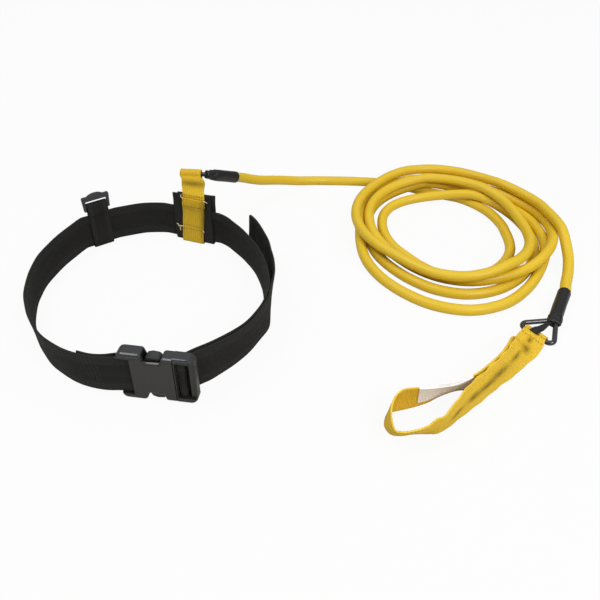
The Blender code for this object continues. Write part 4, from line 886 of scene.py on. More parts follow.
def make_belt():
    """Two ribbons that meet under the slider: the first is held by the belt's body, the second,
    round the buckle's insert, by no body.
    """
    width = sizes().belt_width
    line = belt_line()
    heading = np.gradient(line[:, :2], axis=0)
    heading /= np.linalg.norm(heading, axis=1)[:, None]
    middles, ways = [], []
    for row, ahead in zip(line, heading):
        tilt = math.radians(row[3])
        out = (-ahead[1], ahead[0])
        ways.append((-math.sin(tilt) * out[0], -math.sin(tilt) * out[1], math.cos(tilt)))
        middles.append((row[0], row[1], row[2] + width / 2))
    split = nearest(line, on_line(SLIDER, 0.0))
    run = running(np.array(middles))
    tail_end = run[-1]
    half = width / 2
    for k in range(len(line) - round(TAIL_SLANT_LENGTH / BELT_STEP), len(line)):
        slant = TAIL_SLANT * (1.0 - (tail_end - run[k]) / TAIL_SLANT_LENGTH)
        x, y = (ways[k][i] - slant * heading[k][i] for i in (0, 1))
        ways[k] = (x, y, ways[k][2])

    def relief(x):
        """The middle of the webbing lies a little lower than its edge bands."""
        return 0.00022 * max(0.0, 1.0 - (abs(x) / half / 0.56) ** 6)

    black = colours()["belt"]
    made = []
    for name, low, high in (("belt_left_run", 0, split + 1), ("belt_right_run", split, len(line))):
        frames = ribbon_frames(middles[low:high], ways[low:high])
        outlines = []
        for k in range(low, high):
            left = tail_end - run[k]
            thick = BELT_THICK
            if left < HEM_LENGTH:
                thick += HEM_THICK * min(1.0, (HEM_LENGTH - left) / 0.0012)
            ripple = 0.00012 * math.sin(run[k] * 190.0)
            outlines.append(strap_outline(width, thick, lambda x, r=ripple: r * (x / half) ** 2,
                                          relief))
        made.append(swept(name, frames, outlines))
    # The rows that sew the end down show on the run that covers it, past the socket's bar.
    covering = slice(22, 80)
    sewn = run[covering][nearest(line[covering], SEWN_PLACE)] / MM
    left_finish = finish_of("belt webbing, sewn end", belt_finish, black, half, sewn)
    # Between the bars of the ladder the webbing lies in shade.
    deep = []
    for slot in LADDER_SLOTS:
        near = nearest(line[split:], on_line(BUCKLE, slot, 0.0016)) + split
        deep.append(((run[near] - run[split]) / MM, 2.6))
    hem = (tail_end - run[split]) / MM - 6.0
    right_finish = finish_of("belt webbing, hemmed tail", belt_finish, black, half, None, hem, deep)
    dressed(made[0], left_finish, "belt", ["belt_webbing"])
    dressed(made[1], right_finish, None, ["belt_webbing"])
    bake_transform(made[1])


def make_buckle():
    """Finish the two halves of the buckle and the insert's springy arms."""
    for node in ("buckle_socket", "buckle_insert", "upper_prong", "lower_prong"):
        painted(node, moulded())
    make_lips()


def make_lips():
    """Rolled edges of the buckle: along its rails, under the notch and round the insert."""
    face = -0.0065
    rolled = finish_of("rolled edge", edge_finish, colours()["plastic"])
    paths = (("socket_cap_lip", "belt", 0.0006,
              [(-0.0330, face, 0.0460), (-0.0315, face, 0.0451), (-0.0280, face, 0.0449),
               (-0.0140, face, 0.0449), (-0.0122, face, 0.0456), (-0.0112, face, 0.0480)]),
             ("socket_notch_lip", "belt", 0.00065,
              [(-0.0104, face, 0.0446), (-0.0092, face, 0.0428), (-0.0070, face, 0.0418),
               (-0.0010, face, 0.0417), (0.0036, face, 0.0421), (0.0048, face, 0.0430),
               (0.0053, face, 0.0452)]),
             ("socket_rail_lip", "belt", 0.0005,
              [(0.0056, face, 0.0449), (0.0080, face, 0.0447), (0.0140, face, 0.0447)]),
             ("insert_rail_lip", "insert", 0.0005,
              [(0.0156, -0.0056, 0.0449), (0.0200, -0.0056, 0.0449), (0.0288, -0.0056, 0.0447)]),
             ("insert_end_lip", "insert", 0.0007,
              [(0.0292, -0.0054, 0.0462), (0.0318, -0.0052, 0.0440), (0.0322, -0.0050, 0.0400),
               (0.0322, -0.0050, 0.0250), (0.0322, -0.0050, 0.0100), (0.0316, -0.0052, 0.0064)]))
    for name, body, radius, knots in paths:
        line = [in_group(BUCKLE, *p) for p in spline(knots, 0.0008)]
        dressed(rod(name, line, radius, 10), rolled, body)


def make_keeper():
    """Keeper loop of webbing and its ladder lock."""
    width = sizes().keeper_width
    thick = KEEPER_THICK
    spread = BELT_THICK / 2 + LAYER_GAP + thick / 2
    low = KEEPER_BASE - LAYER_GAP - thick / 2 - 0.00015
    reach = LOCK_BAR_R + LAYER_GAP + thick / 2
    lap = thick + LAYER_GAP
    bar = LOCK_BAR_Z
    profile = [(-spread - lap, 0.0415), (-spread - lap, 0.0455), (-reach - 0.0002, 0.0495),
               (-reach, 0.0512)]
    for degrees in (150, 110, 70, 30):
        a = math.radians(degrees)
        profile.append((reach * math.cos(a), bar + reach * math.sin(a)))
    profile += [(reach, 0.0506), (spread + 0.0004, 0.046), (spread, 0.041), (spread, 0.024),
                (spread, 0.0034), (spread - 0.0005, low + 0.00035), (0.0, low),
                (-spread + 0.0005, low + 0.00035), (-spread, 0.0034), (-spread, 0.024),
                (-spread, 0.039), (-spread, 0.0435)]
    middles = [in_group(KEEPER, 0.0, y, z) for y, z in spline(profile, 0.002, width=2)]
    way = Vector((math.cos(KEEPER[2]), math.sin(KEEPER[2]), 0.0))
    frames = ribbon_frames(middles, [way] * len(middles))
    made = swept("keeper_loop", frames, [strap_outline(width, thick, cuts=8)] * len(frames))
    cloth = finish_of("keeper webbing", belt_finish, colours()["belt"], width / 2)
    dressed(made, cloth, "keeper", ["keeper_strap"])
    painted("ladder_lock", moulded())


def make_slider():
    """The slider: two webbing patches, the yellow tab and its loose thread ends."""
    thick = PATCH_THICK
    cloth = finish_of("patch webbing", belt_finish, colours()["belt"], PATCH_WIDTH / 2)
    way = Vector((math.cos(SLIDER[2]), math.sin(SLIDER[2]), 0.0))
    top = SLIDER_BASE + BELT_WIDTH
    spread = BELT_THICK / 2 + LAYER_GAP + thick / 2
    sewn = 0.00015 + thick / 2
    for name, node, side in (("inner_patch", "slider_inner_patch", -1),
                             ("outer_patch", "slider_outer_patch", 1)):
        profile = [(sewn, 0.002), (sewn + 0.0001, 0.0027), (spread, SLIDER_BASE - 0.0009),
                   (spread, SLIDER_BASE + 0.019), (spread, top + 0.001),
                   (spread - 0.0005, top + 0.004), (sewn, top + 0.009),
                   (sewn, 0.0598 if side < 0 else 0.0606)]
        fine = spline(profile, 0.002, width=2)
        middles = [in_group(SLIDER, 0.0018 * (1 + side) * z / top, side * y, z) for y, z in fine]
        ways = [way + Vector((0.0, 0.0, 0.03 * max(0.0, z / top) ** 2)) for _, z in fine]
        frames = ribbon_frames(middles, ways)
        made = swept(name, frames, [strap_outline(PATCH_WIDTH, thick)] * len(frames))
        dressed(made, cloth, "slider", [node])
    make_tab()
    make_threads()


def make_tab():
    """Yellow strap: down the inner face, under the patches, up the back, round the ring's leg."""
    width = sizes().tab_width
    thick = PATCH_THICK
    spread = BELT_THICK / 2 + 2 * LAYER_GAP + PATCH_THICK + thick / 2
    bottom = thick / 2
    local = Matrix.Rotation(-SLIDER[2], 3, "Z") @ (LOOP_MIDDLE - Vector((SLIDER[0], SLIDER[1], 0.0)))
    reach = WIRE_R + 0.0012 + thick / 2
    twist = LOOP_TURN - SLIDER[2]
    along = Vector((math.cos(twist), math.sin(twist), 0.0))
    square = Vector((1.0, 0.0, 0.0))
    rows = []

    def slant(z):
        """The tab leans along the belt as it rises."""
        return -0.0018 + 0.115 * (z - 0.004)

    for y, z in [(-spread - 0.0019, 0.0572), (-spread - 0.0021, 0.0535), (-spread - 0.0019, 0.0488),
                 (-spread - 0.0008, 0.0448), (-spread, 0.040), (-spread, 0.024), (-spread, 0.004),
                 (-spread + 0.0006, 0.0016), (-spread + 0.002, bottom), (0.0, bottom),
                 (spread - 0.002, bottom), (spread - 0.0006, 0.0016), (spread, 0.004),
                 (spread, 0.024), (spread, 0.050)]:
        rows.append((slant(z) - (0.002 if y > 0 and z > 0.03 else 0.0), y, z, *square, width))
    for blend, x, y, z in ((0.35, -0.0040, spread + 0.007, 0.0572),
                           (0.7, -0.0084, local.y - 0.0115, 0.0604)):
        rows.append((x, y, z, *square.lerp(along, blend), width))
    side = Vector((-along[1], along[0], 0.0))
    for degrees in (-60, -25, 10, 45, 80, 115, 150, 185):
        a = math.radians(degrees)
        spot = local + reach * math.cos(a) * side + Vector((0.0, 0.0, reach * math.sin(a)))
        rows.append((*(spot - 0.0026 * along), *along, width - 0.0020))
    for blend, x, y, z in ((0.7, -0.0062, local.y - 0.0132, 0.0652),
                           (0.35, 0.0003, 0.0038, 0.0640), (0.0, 0.0037, -0.0030, 0.0605),
                           (0.0, slant(0.054), -spread - 0.0001, 0.054),
                           (0.0, slant(0.051), -spread - 0.0001, 0.051),
                           (0.0, slant(0.0485), -spread, 0.0485),
                           (0.0, slant(0.047), -spread + 0.0001, 0.047)):
        rows.append((x, y, z, *square.lerp(along, blend), width))
    fine = spline(rows, 0.0015)
    turn = Matrix.Rotation(SLIDER[2], 3, "Z")
    middles = [in_group(SLIDER, *row[:3]) for row in fine]
    ways = [turn @ Vector(row[3:6]) for row in fine]
    frames = ribbon_frames(middles, ways)
    outlines = [strap_outline(row[6], thick, cuts=10) for row in fine]
    made = swept("yellow_tab", frames, outlines)
    end = frames[-1][3] / MM
    stitched = (end - 10.4, end - 13.0, 9.0, 34.8, 39.4)
    shaded = ((end - 31.0, 7.0, 0.0, 22.0), (24.0, 30.0, 14.0, 4.0))
    cloth = finish_of("tab webbing", yellow_finish, colours()["strap"], width / 2, stitched, shaded,
                      0.3)
    dressed(made, cloth, "slider", ["tab_strap"])


def make_threads():
    """Loose ends of the cream sewing thread on the yellow tab."""
    curls = (("seam_left", [(-0.0072, -0.0062, 0.0572), (-0.0087, -0.0072, 0.0582),
                            (-0.0096, -0.0066, 0.0602), (-0.0084, -0.0064, 0.0610)]),
             ("seam_right", [(0.0158, -0.0062, 0.0564), (0.0180, -0.0078, 0.0582),
                             (0.0198, -0.0074, 0.0578), (0.0210, -0.0066, 0.0562)]),
             ("low_left", [(-0.0112, -0.0052, 0.0205), (-0.0135, -0.0066, 0.0216),
                           (-0.0158, -0.0068, 0.0208), (-0.0172, -0.0058, 0.0226),
                           (-0.0188, -0.0060, 0.0229)]),
             ("low_left_fork", [(-0.0135, -0.0062, 0.0214), (-0.0147, -0.0068, 0.0186),
                                (-0.0142, -0.0070, 0.0164), (-0.0152, -0.0060, 0.0150)]),
             ("low_right", [(0.0120, -0.0052, 0.0192), (0.0133, -0.0062, 0.0190),
                            (0.0141, -0.0058, 0.0181)]))
    thread = finish_of("sewing thread", thread_finish)
    for name, knots in curls:
        line = [in_group(SLIDER, *p) for p in spline(knots, 0.0005)]
        dressed(rod("thread_" + name, line, THREAD_R, 8), thread, "slider")


def lay_on(place, here, laid, need):
    """Height that a point needs to lie on the strands laid before it, or None over bare floor."""
    at, z, run = laid
    old = run < here - 2.5 * need
    away = np.linalg.norm(at[old] - place, axis=1)
    near = away < need
    if not near.any():
        return None
    return float((z[old][near] + np.sqrt(need ** 2 - away[near] ** 2)).max())


def coil_plan():
    """The coil from above, clockwise: a smooth reach through the table, every 15 degrees."""
    reach = np.array([COIL_FIRST] + [r for turn in COIL_REACH for r in turn if r is not None])
    last = TABLE_TURN - TABLE_TURN * (len(reach) - 1)
    out = []
    for angle in np.arange(TABLE_TURN - 2 * PLAN_TURN, last - 0.1, -PLAN_TURN):
        x = (TABLE_TURN - angle) / TABLE_TURN
        i = int(min(max(math.floor(x), 0), len(reach) - 2))
        f = x - i
        p0, p1 = reach[max(i - 1, 0)], reach[i]
        p2, p3 = reach[i + 1], reach[min(i + 2, len(reach) - 1)]
        r = 0.5 * (2 * p1 + (p2 - p0) * f + (2 * p0 - 5 * p1 + 4 * p2 - p3) * f * f
                   + (3 * p1 - p0 - 3 * p2 + p3) * f ** 3)
        a = math.radians(angle)
        out.append((COIL_MIDDLE[0] + r * math.cos(a), COIL_MIDDLE[1] + r * math.sin(a)))
    return out


def anchor_apex():
    """Middle of the wire at the near ring's apex."""
    slant = math.hypot(RING_BASE / 2, RING_SHARP_HEIGHT) / (RING_BASE / 2) - 1
    reach = RING_SHARP_HEIGHT - RING_APEX_R * slant
    place = ANCHOR_BAR + reach * ANCHOR_APEX_WAY
    place.z = ANCHOR_APEX_Z
    return place


def belt_ring_places():
    """Middle of the far ring's base, its two ways, the sleeve's mouth and way, and the leg's way."""
    leg = Vector((math.cos(LOOP_TURN), math.sin(LOOP_TURN), 0.0))
    side = leg.cross(Vector(RING_SWUNG_BACK)).cross(leg).normalized()
    half = math.atan2(RING_BASE / 2, RING_SHARP_HEIGHT)
    sharp = LOOP_MIDDLE + LEG_IN_LOOP * leg
    inward = -math.cos(half) * leg + math.sin(half) * side
    sideways = -math.sin(half) * leg - math.cos(half) * side
    base = sharp + RING_SHARP_HEIGHT * inward
    apex = sharp + RING_APEX_R * (1 / math.sin(half) - 1) * inward
    axis = Vector(BELT_CUFF_WAY).normalized()
    mouth = apex + axis * (CUFF_LENGTH - NECK_PAST_APEX)
    return base, -inward, sideways, mouth, axis, leg


def tube_line():
    """Middle line of the whole tube, from inside the far sleeve to inside the near one."""
    diameter = sizes().tube_diameter
    radius = diameter / 2
    _, _, _, mouth, axis, _ = belt_ring_places()
    knots = [mouth - axis * TUBE_IN_SLEEVE, mouth - axis * diameter, mouth,
             mouth + axis * TUBE_STRAIGHT]
    knots = [tuple(k) for k in knots] + LEAD + [(*LEAD_LAST, radius)]
    lead = spline(knots, LAY_STEP)[:-round(LEAD_OVERLAP / LAY_STEP)]
    apex = anchor_apex()
    near_mouth = apex - (CUFF_LENGTH - NECK_PAST_APEX) * CUFF_WAY
    end = [near_mouth - TUBE_STRAIGHT * CUFF_WAY, near_mouth, near_mouth + diameter * CUFF_WAY,
           near_mouth + TUBE_IN_SLEEVE * CUFF_WAY]
    down = list(COIL_END) + [tuple(p) for p in end]
    plan = COIL_START + coil_plan() + [p[:2] for p in down]
    flat = spline(plan, LAY_STEP, width=2)
    run = running(flat)
    height = np.full(len(flat), radius)
    first_down = nearest(flat, down[0][:2])
    need = diameter + LAY_GAP
    # Each strand lies on those laid before it. Every few stations the climbs are eased.
    for i in range(1, first_down + 1):
        rest = lay_on(flat[i], run[i], (flat[:i], height[:i], run[:i]), need)
        height[i] = max(height[i], rest or 0.0)
        if i % EASE_EVERY == 0 or i == first_down:
            eased = height[:i + 1].copy()
            for _ in range(EASE_TIMES):
                middle = (eased[:-2] + eased[2:]) / 2 - EASE_DROP
                eased[1:-1] = np.maximum(height[1:i], middle)
            height[:i + 1] = eased
    # The last strand comes down to the near sleeve, over what it crosses.
    fall = spline([(*flat[first_down], height[first_down])] + down[1:], LAY_STEP)
    share = running(flat[first_down:])
    along = running(fall[:, :2])
    target = np.interp(share, along, fall[:, 2])
    for k in range(len(target)):
        i = first_down + k
        rest = lay_on(flat[i], run[i], (flat[:first_down], height[:first_down], run[:first_down]),
                      need)
        height[i] = max(target[k], rest or 0.0)
    # The kink where it starts down is smoothed, but never into the strands below.
    tail = height[first_down - KINK_START:].copy()
    floor = tail[1:-KINK_END].copy()
    for _ in range(KINK_TIMES):
        middle = (tail[:-KINK_END - 1] + tail[2:1 - KINK_END]) / 2
        tail[1:-KINK_END] = np.maximum(middle, floor)
    height[first_down - KINK_START:] = tail
    coil = np.column_stack([flat, height])
    return np.vstack([lead, coil]), mouth


def make_tube():
    """The latex tube, one unbroken cord from sleeve to sleeve."""
    radius = sizes().tube_diameter / 2
    points, mouth = tube_line()
    inside = points[3:-3]
    made = rod("latex_tube", inside, radius, TUBE_SIDES)
    latex = finish_of("dipped latex", latex_finish, colours()["latex"])
    dressed(made, latex, None, ["tube_lead", "tube_coil"])
    held = mouth + SHIFT + HELD_LENGTH * BEND_WAY
    held - BEND_LENGTH * BEND_WAY
    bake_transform(made)
    mouth + SHIFT
    [p + np.array(SHIFT) for p in inside]


def rounded_triangle(steps=7):
    """Middle line of a ring, base on X = 0 and apex at +X."""
    corners = [Vector((0.0, -RING_BASE / 2)), Vector((RING_SHARP_HEIGHT, 0.0)),
               Vector((0.0, RING_BASE / 2))]
    radii = [RING_CORNER_R, RING_APEX_R, RING_CORNER_R]
    out = []
    for i, (corner, radius) in enumerate(zip(corners, radii)):
        before = (corners[i - 1] - corner).normalized()
        after = (corners[(i + 1) % 3] - corner).normalized()
        half = before.angle(after) / 2
        reach = radius / math.tan(half)
        middle = corner + (before + after).normalized() * (radius / math.sin(half))
        start = corner + before * reach - middle
        end = corner + after * reach - middle
        if out:
            out += [out[-1].lerp(middle + start, k / 5) for k in range(1, 5)]
        for k in range(steps + 1):
            out.append(middle + radius * start.slerp(end, k / steps))
    out += [out[-1].lerp(out[0], k / 5) for k in range(1, 5)]
    return out


def make_ring(name, base, x_way, y_way, body, node):
    """A three-sided ring of coated wire."""
    line = [base + p.x * x_way + p.y * y_way for p in rounded_triangle()]
    made = rod(name, line, WIRE_R, WIRE_SIDES, level=x_way.cross(y_way), closed=True)
    dressed(made, finish_of("coated wire", wire_finish), body, [node])


def make_sleeve(name, mouth, way, level, neck_width, length=CUFF_LENGTH):
    """Shrunk sleeve: rolled lip at its mouth, streaked body, and a neck wrapped on the ring."""
    wide = neck_width / 2
    deep = NECK_DEPTH / 2
    neck = length - NECK_LENGTH
    stations = [(0.0, 0.0058, 0.0058), (-0.0002, 0.0061, 0.0061), (0.0004, 0.0065, 0.0065),
                (0.0016, 0.0066, 0.0066), (0.0034, CUFF_R, CUFF_R), (0.0200, 0.0064, 0.0064),
                (0.0270, CUFF_R, CUFF_R), (neck - 0.004, 0.0064, 0.0064),
                (neck, 0.0062, 0.0062),
                (neck + 0.0022, 0.0055, (0.0060 + wide) / 2),
                (neck + 0.0030, 0.0057, (0.0064 + wide) / 2),
                (neck + 0.0052, 0.0050, wide), (neck + 0.0060, 0.0052, wide + 0.0002),
                (neck + 0.0084, deep, wide - 0.0002), (neck + 0.0092, deep + 0.0002, wide),
                (length - 0.0012, deep, wide - 0.0003),
                (length, deep - 0.0008, wide - 0.0014)]
    fine = dense(stations, 0.0009)
    x = way.normalized()
    z = x.cross(Vector(level)).normalized()
    y = z.cross(x)
    frames, outlines = [], []
    for along, depth, width in fine:
        frames.append((mouth + x * along, y, z, along))
        wrapped = min(1.0, max(0.0, (along - neck + 0.002) / 0.004))
        ring = []
        for k in range(SLEEVE_SIDES + 1):
            a = TAU * k / SLEEVE_SIDES
            fold = 0.00010 * math.sin(3 * a + along * 60) + 0.00006 * math.sin(7 * a - along * 210)
            fold += 0.00028 * wrapped * math.sin(5 * a + 900 * along)
            ring.append(((width + fold) * math.cos(a), (depth + fold) * math.sin(a),
                         a * CUFF_R / MM))
        outlines.append(ring)
    return swept(name, frames, outlines)


def dense(rows, step):
    """Rows of a table filled in evenly along its first column."""
    rows = np.array(rows, float)
    at = running(rows)
    fine = np.linspace(0.0, at[-1], int(at[-1] / step) + 1)
    fine = np.unique(np.concatenate([fine, at]))
    return np.column_stack([np.interp(fine, at, rows[:, k]) for k in range(rows.shape[1])])


def make_belt_end():
    """Far hardware: the ring in the tab's loop and the sleeve that leaves its apex."""
    base, x_way, y_way, mouth, axis, leg = belt_ring_places()
    make_ring("far_ring", base, x_way, y_way, "belt_ring", "belt_end_ring")
    made = make_sleeve("far_sleeve", mouth - axis * BELT_CUFF_BACK, -axis, leg, BELT_NECK_WIDTH,
                       BELT_CUFF_LENGTH)
    dressed(made, shrunk_rubber(), "belt_ring", ["belt_end_cuff"])
    painted("belt_end_plug", moulded())


def make_anchor_end():
    """Near hardware: the sleeve, the ring that swings on it and the flat tongue."""
    apex = anchor_apex()
    rise = Vector((0, 0, (ANCHOR_APEX_Z - ANCHOR_BAR.z) / (apex - ANCHOR_BAR).to_2d().length))
    level = Vector((-ANCHOR_APEX_WAY.y, ANCHOR_APEX_WAY.x, 0.0))
    x_way = (ANCHOR_APEX_WAY + rise).normalized()
    make_ring("near_ring", ANCHOR_BAR, x_way, level, "anchor_ring", "anchor_ring")
    mouth = apex - (CUFF_LENGTH - NECK_PAST_APEX) * CUFF_WAY
    made = make_sleeve("near_sleeve", mouth, CUFF_WAY, level, ANCHOR_NECK_WIDTH)
    dressed(made, shrunk_rubber(), None, ["anchor_cuff"])
    start, end = (apex - reach * CUFF_WAY + SHIFT for reach in CUFF_HINGE)
    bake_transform(made)
    painted("anchor_plug", moulded())
    tongue = make_tongue("tongue", 0.0014, [(0.0061, 0.0034, -0.0002), (0.0111, 0.0042, 0.0001),
                                            (0.0161, 0.0060, 0.0001), (0.0213, 0.0076, 0.0)])
    dressed(tongue, shrunk_rubber(), "anchor_ring", ["anchor_tongue"])
    tip = make_tongue("tongue_end", 0.0012, [(0.0222, 0.0078, 0.0006), (0.0250, 0.0084, 0.0014),
                                             (0.0280, 0.0090, 0.0016), (0.0312, 0.0092, 0.0012)])
    dressed(tip, shrunk_rubber(), "anchor_strap")


def make_tongue(name, thick, rows):
    """A flat strip from the near sleeve. Rows hold reach from the apex, width and rise."""
    apex = anchor_apex()
    way = -ANCHOR_APEX_WAY
    across = Vector((-way.y, way.x, 0.0))
    top = ANCHOR_BAR.z + WIRE_R + TONGUE_OVER_WIRE
    fine = spline([(reach, width, top + rise) for reach, width, rise in rows], 0.001, width=1)
    middles = [Vector((*(apex + way * float(r[0])).to_2d(), float(r[2]))) for r in fine]
    frames = ribbon_frames(middles, [across] * len(fine))
    return swept(name, frames, [strap_outline(r[1], thick, cuts=6) for r in fine])


def strap_rows():
    """The anchor strap: lap under the bar, fold round it, the loop, and the end under the lap."""
    width = sizes().strap_width
    across = Vector((-ANCHOR_APEX_WAY.y, ANCHOR_APEX_WAY.x, 0.0))
    reach = WIRE_R + LAYER_GAP + ANCHOR_THICK / 2
    fold = width - FOLD_NARROWER
    lap = ANCHOR_BAR - LAP_LENGTH * ANCHOR_APEX_WAY + Vector((0, 0, -reach))
    rows = [(*lap, *across, fold)]
    for degrees in (-90, -54, -18, 18, 54, 90):
        a = math.radians(degrees)
        lift = Vector((0, 0, reach * math.sin(a)))
        spot = ANCHOR_BAR + reach * math.cos(a) * ANCHOR_APEX_WAY + lift
        rows.append((*spot, *across, fold))
    wrap = spline(rows, 0.0008)
    knots = [tuple(rows[-1])] + [(*middle, *way, width) for middle, way in STRAP]
    return wrap, spline(knots, 0.0025)


def make_strap():
    """The yellow anchor strap with its soft lengthwise crease, and the blank label on it."""
    wrap, loop = strap_rows()
    rows = np.vstack([wrap[:-1], loop])
    run = running(rows[:, :3])
    share = (run - run[len(wrap) - 1]) / (run[-1] - run[len(wrap) - 1])
    frames = ribbon_frames(rows[:, :3], [tuple(r[3:6]) for r in rows])
    outlines = []
    for row, here in zip(rows, share):
        crease = 0.0013 * bell(here, 0.22, 0.13) + 0.0006 * bell(here, 0.45, 0.05)
        wave = 0.0009 * bell(here, 0.20, 0.16) * math.sin(here * 120.0)
        half = row[6] / 2

        def bend(x, crease=crease, wave=wave, half=half):
            """A soft crease along the middle, and one edge that ripples."""
            near = x / half
            return (-crease * math.exp(-(near / 0.42) ** 2) + wave * max(0.0, near) ** 2
                    - 0.5 * wave * max(0.0, -near) ** 2)

        outlines.append(strap_outline(row[6], ANCHOR_THICK, bend, cuts=12))
    made = swept("anchor_loop", frames, outlines)
    start = run[len(wrap) - 1] / MM
    warm = toned(colours()["strap"], 1.07, 1.05, 1.3)
    # Painted shade patches mark the loop's creases and dents
    cloth = finish_of("anchor webbing", yellow_finish, warm, sizes().strap_width / 2,
                      (start + 2.5, start + 9.5),
                      ((start + 14.0, 4.0, 2.0, 2.5), (start + 28.0, 8.0, 0.0, 4.0),
                       (start + 50.0, 10.0, 2.5, 2.2), (start + 78.0, 14.0, 2.0, 3.4),
                       (start + 98.0, 14.0, 0.5, 2.8), (start + 117.0, 8.0, 0.0, 3.0),
                       (start + 140.0, 9.0, -1.0, 2.8)))
    dressed(made, cloth, "anchor_strap", ["anchor_strap"])
    make_label(loop)


def make_label(loop):
    """The blank white label, stitched flat on the loop with its upper edge folded back."""
    share = running(loop[:, :3]) / running(loop[:, :3])[-1]
    keep = [i for i in range(len(loop)) if LABEL_SPAN[0] < share[i] < LABEL_SPAN[1]]
    chosen = ribbon_frames(loop[keep, :3], [tuple(loop[i, 3:6]) for i in keep])
    offset = ANCHOR_THICK / 2 + LABEL_GAP + LABEL_THICK / 2
    raised = (sizes().strap_width - LABEL_HEIGHT) / 2 + LABEL_RAISED
    edge = sizes().strap_width / 2 - raised - 0.0001

    def folded(x):
        """The upper edge turns back over the webbing."""
        return -LABEL_FOLD_DEPTH * min(1.0, max(0.0, (x - edge) / LABEL_FOLD_REACH))

    lifted = [(middle + offset * deep + raised * across, across, deep, length)
              for middle, across, deep, length in chosen]
    outline = strap_outline(LABEL_HEIGHT, LABEL_THICK, folded, cuts=40)
    label = swept("blank_label", lifted, [outline] * len(lifted))
    dressed(label, finish_of("woven label", label_finish), "anchor_strap",
            ["strap_label"])


def bell(x, middle, reach):
    """A smooth bump of height 1 round its middle."""
    return math.exp(-((x - middle) / reach) ** 2)


def make_stage():
    """Camera of the photograph, pale floor that fades to white, and soft studio light."""
    make_camera()
    make_floor()
    make_world()
    for name, place, size, power in LAMPS:
        lamp = bpy.data.lights.new(name, "AREA")
        lamp.shape = "DISK"
        lamp.size = size
        lamp.energy = power
        turn = (-Vector(place)).to_track_quat("-Z", "Y").to_euler()
        hung(name, lamp, place, turn)
    bpy.context.scene.view_settings.view_transform = "Standard"


def hung(name, data, place, turn):
    """A camera or lamp at its place in the scene."""
    made = bpy.data.objects.new(name, data)
    made.location = place
    made.rotation_euler = turn
    bpy.context.scene.collection.objects.link(made)
    return made


def make_camera():
    """The photograph's view."""
    camera = bpy.data.cameras.new("camera")
    camera.sensor_width = EYE_SENSOR
    camera.lens = EYE_LENS
    bpy.context.scene.camera = hung("camera", camera, EYE + SHIFT, (EYE_TILT, 0.0, 0.0))


def make_floor():
    """Pale paper that keeps a faint shadow."""
    bm = bmesh.new()
    bmesh.ops.create_circle(bm, cap_ends=True, segments=96, radius=FLOOR_REACH)
    floor = piece("floor", bm)
    floor.location.z = -FLOOR_DEPTH
    paper = Finish("white paper", Base_Color=(*PAPER, 1.0), Roughness=0.9, Specular_IOR_Level=0.1)
    glow = paper.node("ShaderNodeEmission", None, {"Strength": 1.0})
    paper.show(Value(paper, paper.shader.outputs[0]), glow, "Material Output", PAPER_WHITE)
    floor.data.materials.append(paper.material)


def make_world():
    """A room that is brighter above, behind a background that the camera sees as white."""
    world = bpy.data.worlds.new("studio")
    world.use_nodes = True
    room = Nodes(world.node_tree)
    light = room.tree.nodes["Background"]
    light.inputs["Strength"].default_value = 1.0
    height = room.split(room.node("ShaderNodeTexCoord"))[2]
    tone = room.node("ShaderNodeValToRGB", {"stops": ROOM}, [height])
    room.tree.links.new(tone.socket, light.inputs["Color"])
    white = room.node("ShaderNodeBackground", None,
                      {"Color": (1.0, 1.0, 1.0, 1.0), "Strength": 1.0})
    room.show(Value(room, light.outputs[0]), white, "World Output")
    bpy.context.scene.world = world


class SWIMBELT_OT_stage(bpy.types.Operator):
    """Make the camera, the floor and the studio light"""
    bl_idname = "swimbelt.stage"
    bl_label = "Stage"
    bl_options = {"REGISTER", "UNDO"}

    def execute(self, context):
        make_stage()
        return {"FINISHED"}


class SWIMBELT_OT_tube(bpy.types.Operator):
    """Make the coiled tube, one cord from sleeve to sleeve"""
    bl_idname = "swimbelt.tube"
    bl_label = "Latex tube"
    bl_options = {"REGISTER", "UNDO"}

    def execute(self, context):
        make_tube()
        return {"FINISHED"}


class SWIMBELT_OT_belt(bpy.types.Operator):
    """Make the two runs of the waist belt"""
    bl_idname = "swimbelt.belt"
    bl_label = "Belt webbing"
    bl_options = {"REGISTER", "UNDO"}

    def execute(self, context):
        make_belt()
        return {"FINISHED"}


class SWIMBELT_OT_buckle(bpy.types.Operator):
    """Finish the side-release buckle and make its lips"""
    bl_idname = "swimbelt.buckle"
    bl_label = "Buckle"
    bl_options = {"REGISTER", "UNDO"}

    def execute(self, context):
        make_buckle()
        return {"FINISHED"}


class SWIMBELT_OT_keeper(bpy.types.Operator):
    """Make the keeper loop and finish its ladder lock"""
    bl_idname = "swimbelt.keeper"
    bl_label = "Keeper"
    bl_options = {"REGISTER", "UNDO"}

    def execute(self, context):
        make_keeper()
        return {"FINISHED"}


class SWIMBELT_OT_slider(bpy.types.Operator):
    """Make the two patches, the yellow tab and its threads"""
    bl_idname = "swimbelt.slider"
    bl_label = "Slider"
    bl_options = {"REGISTER", "UNDO"}

    def execute(self, context):
        make_slider()
        return {"FINISHED"}


class SWIMBELT_OT_belt_end(bpy.types.Operator):
    """Make the ring and the sleeve at the belt"""
    bl_idname = "swimbelt.belt_end"
    bl_label = "Belt end hardware"
    bl_options = {"REGISTER", "UNDO"}

    def execute(self, context):
        make_belt_end()
        return {"FINISHED"}


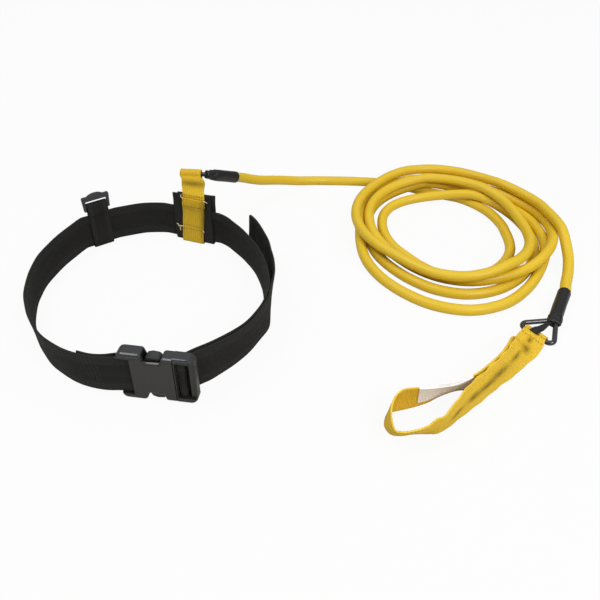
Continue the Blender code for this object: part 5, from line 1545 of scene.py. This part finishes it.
class SWIMBELT_OT_anchor_end(bpy.types.Operator):
    """Make the sleeve, the ring and the tongue"""
    bl_idname = "swimbelt.anchor_end"
    bl_label = "Anchor end hardware"
    bl_options = {"REGISTER", "UNDO"}

    def execute(self, context):
        make_anchor_end()
        return {"FINISHED"}


class SWIMBELT_OT_strap(bpy.types.Operator):
    """Make the anchor loop and its blank label"""
    bl_idname = "swimbelt.strap"
    bl_label = "Anchor strap"
    bl_options = {"REGISTER", "UNDO"}

    def execute(self, context):
        make_strap()
        return {"FINISHED"}


# In the order in which they run
OPERATORS = [
    SWIMBELT_OT_stage, SWIMBELT_OT_tube, SWIMBELT_OT_belt, SWIMBELT_OT_buckle, SWIMBELT_OT_keeper,
    SWIMBELT_OT_slider, SWIMBELT_OT_belt_end, SWIMBELT_OT_anchor_end, SWIMBELT_OT_strap,
]


class SWIMBELT_PT_panel(bpy.types.Panel):
    """Sizes and colours of the swim belt, and a button for each group of pieces"""
    bl_idname = "SWIMBELT_PT_panel"
    bl_label = "Swim belt"
    bl_space_type = "VIEW_3D"
    bl_region_type = "UI"
    bl_category = "Swim belt"

    def draw(self, context):
        """List the sizes, the colours and the makers"""
        column = self.layout.column()
        for group in (context.scene.swim_belt_sizes, context.scene.swim_belt_colours):
            for key in group.__annotations__:
                column.prop(group, key)
        for made in OPERATORS:
            column.operator(made.bl_idname)


CLASSES = [SwimBeltSizes, SwimBeltColours, *OPERATORS, SWIMBELT_PT_panel]


def register():
    """Add the classes, and keep the sizes and colours on the scene."""
    for made in CLASSES:
        bpy.utils.register_class(made)
    bpy.types.Scene.swim_belt_sizes = PointerProperty(type=SwimBeltSizes)
    bpy.types.Scene.swim_belt_colours = PointerProperty(type=SwimBeltColours)


def unregister():
    """Take everything back in reverse."""
    del bpy.types.Scene.swim_belt_colours
    del bpy.types.Scene.swim_belt_sizes
    for made in reversed(CLASSES):
        bpy.utils.unregister_class(made)


def main():
    """Make every group of pieces."""
    register()
    for made in OPERATORS:
        getattr(bpy.ops.swimbelt, made.bl_idname.split(".")[1])()


if __name__ == "__main__":
    main()
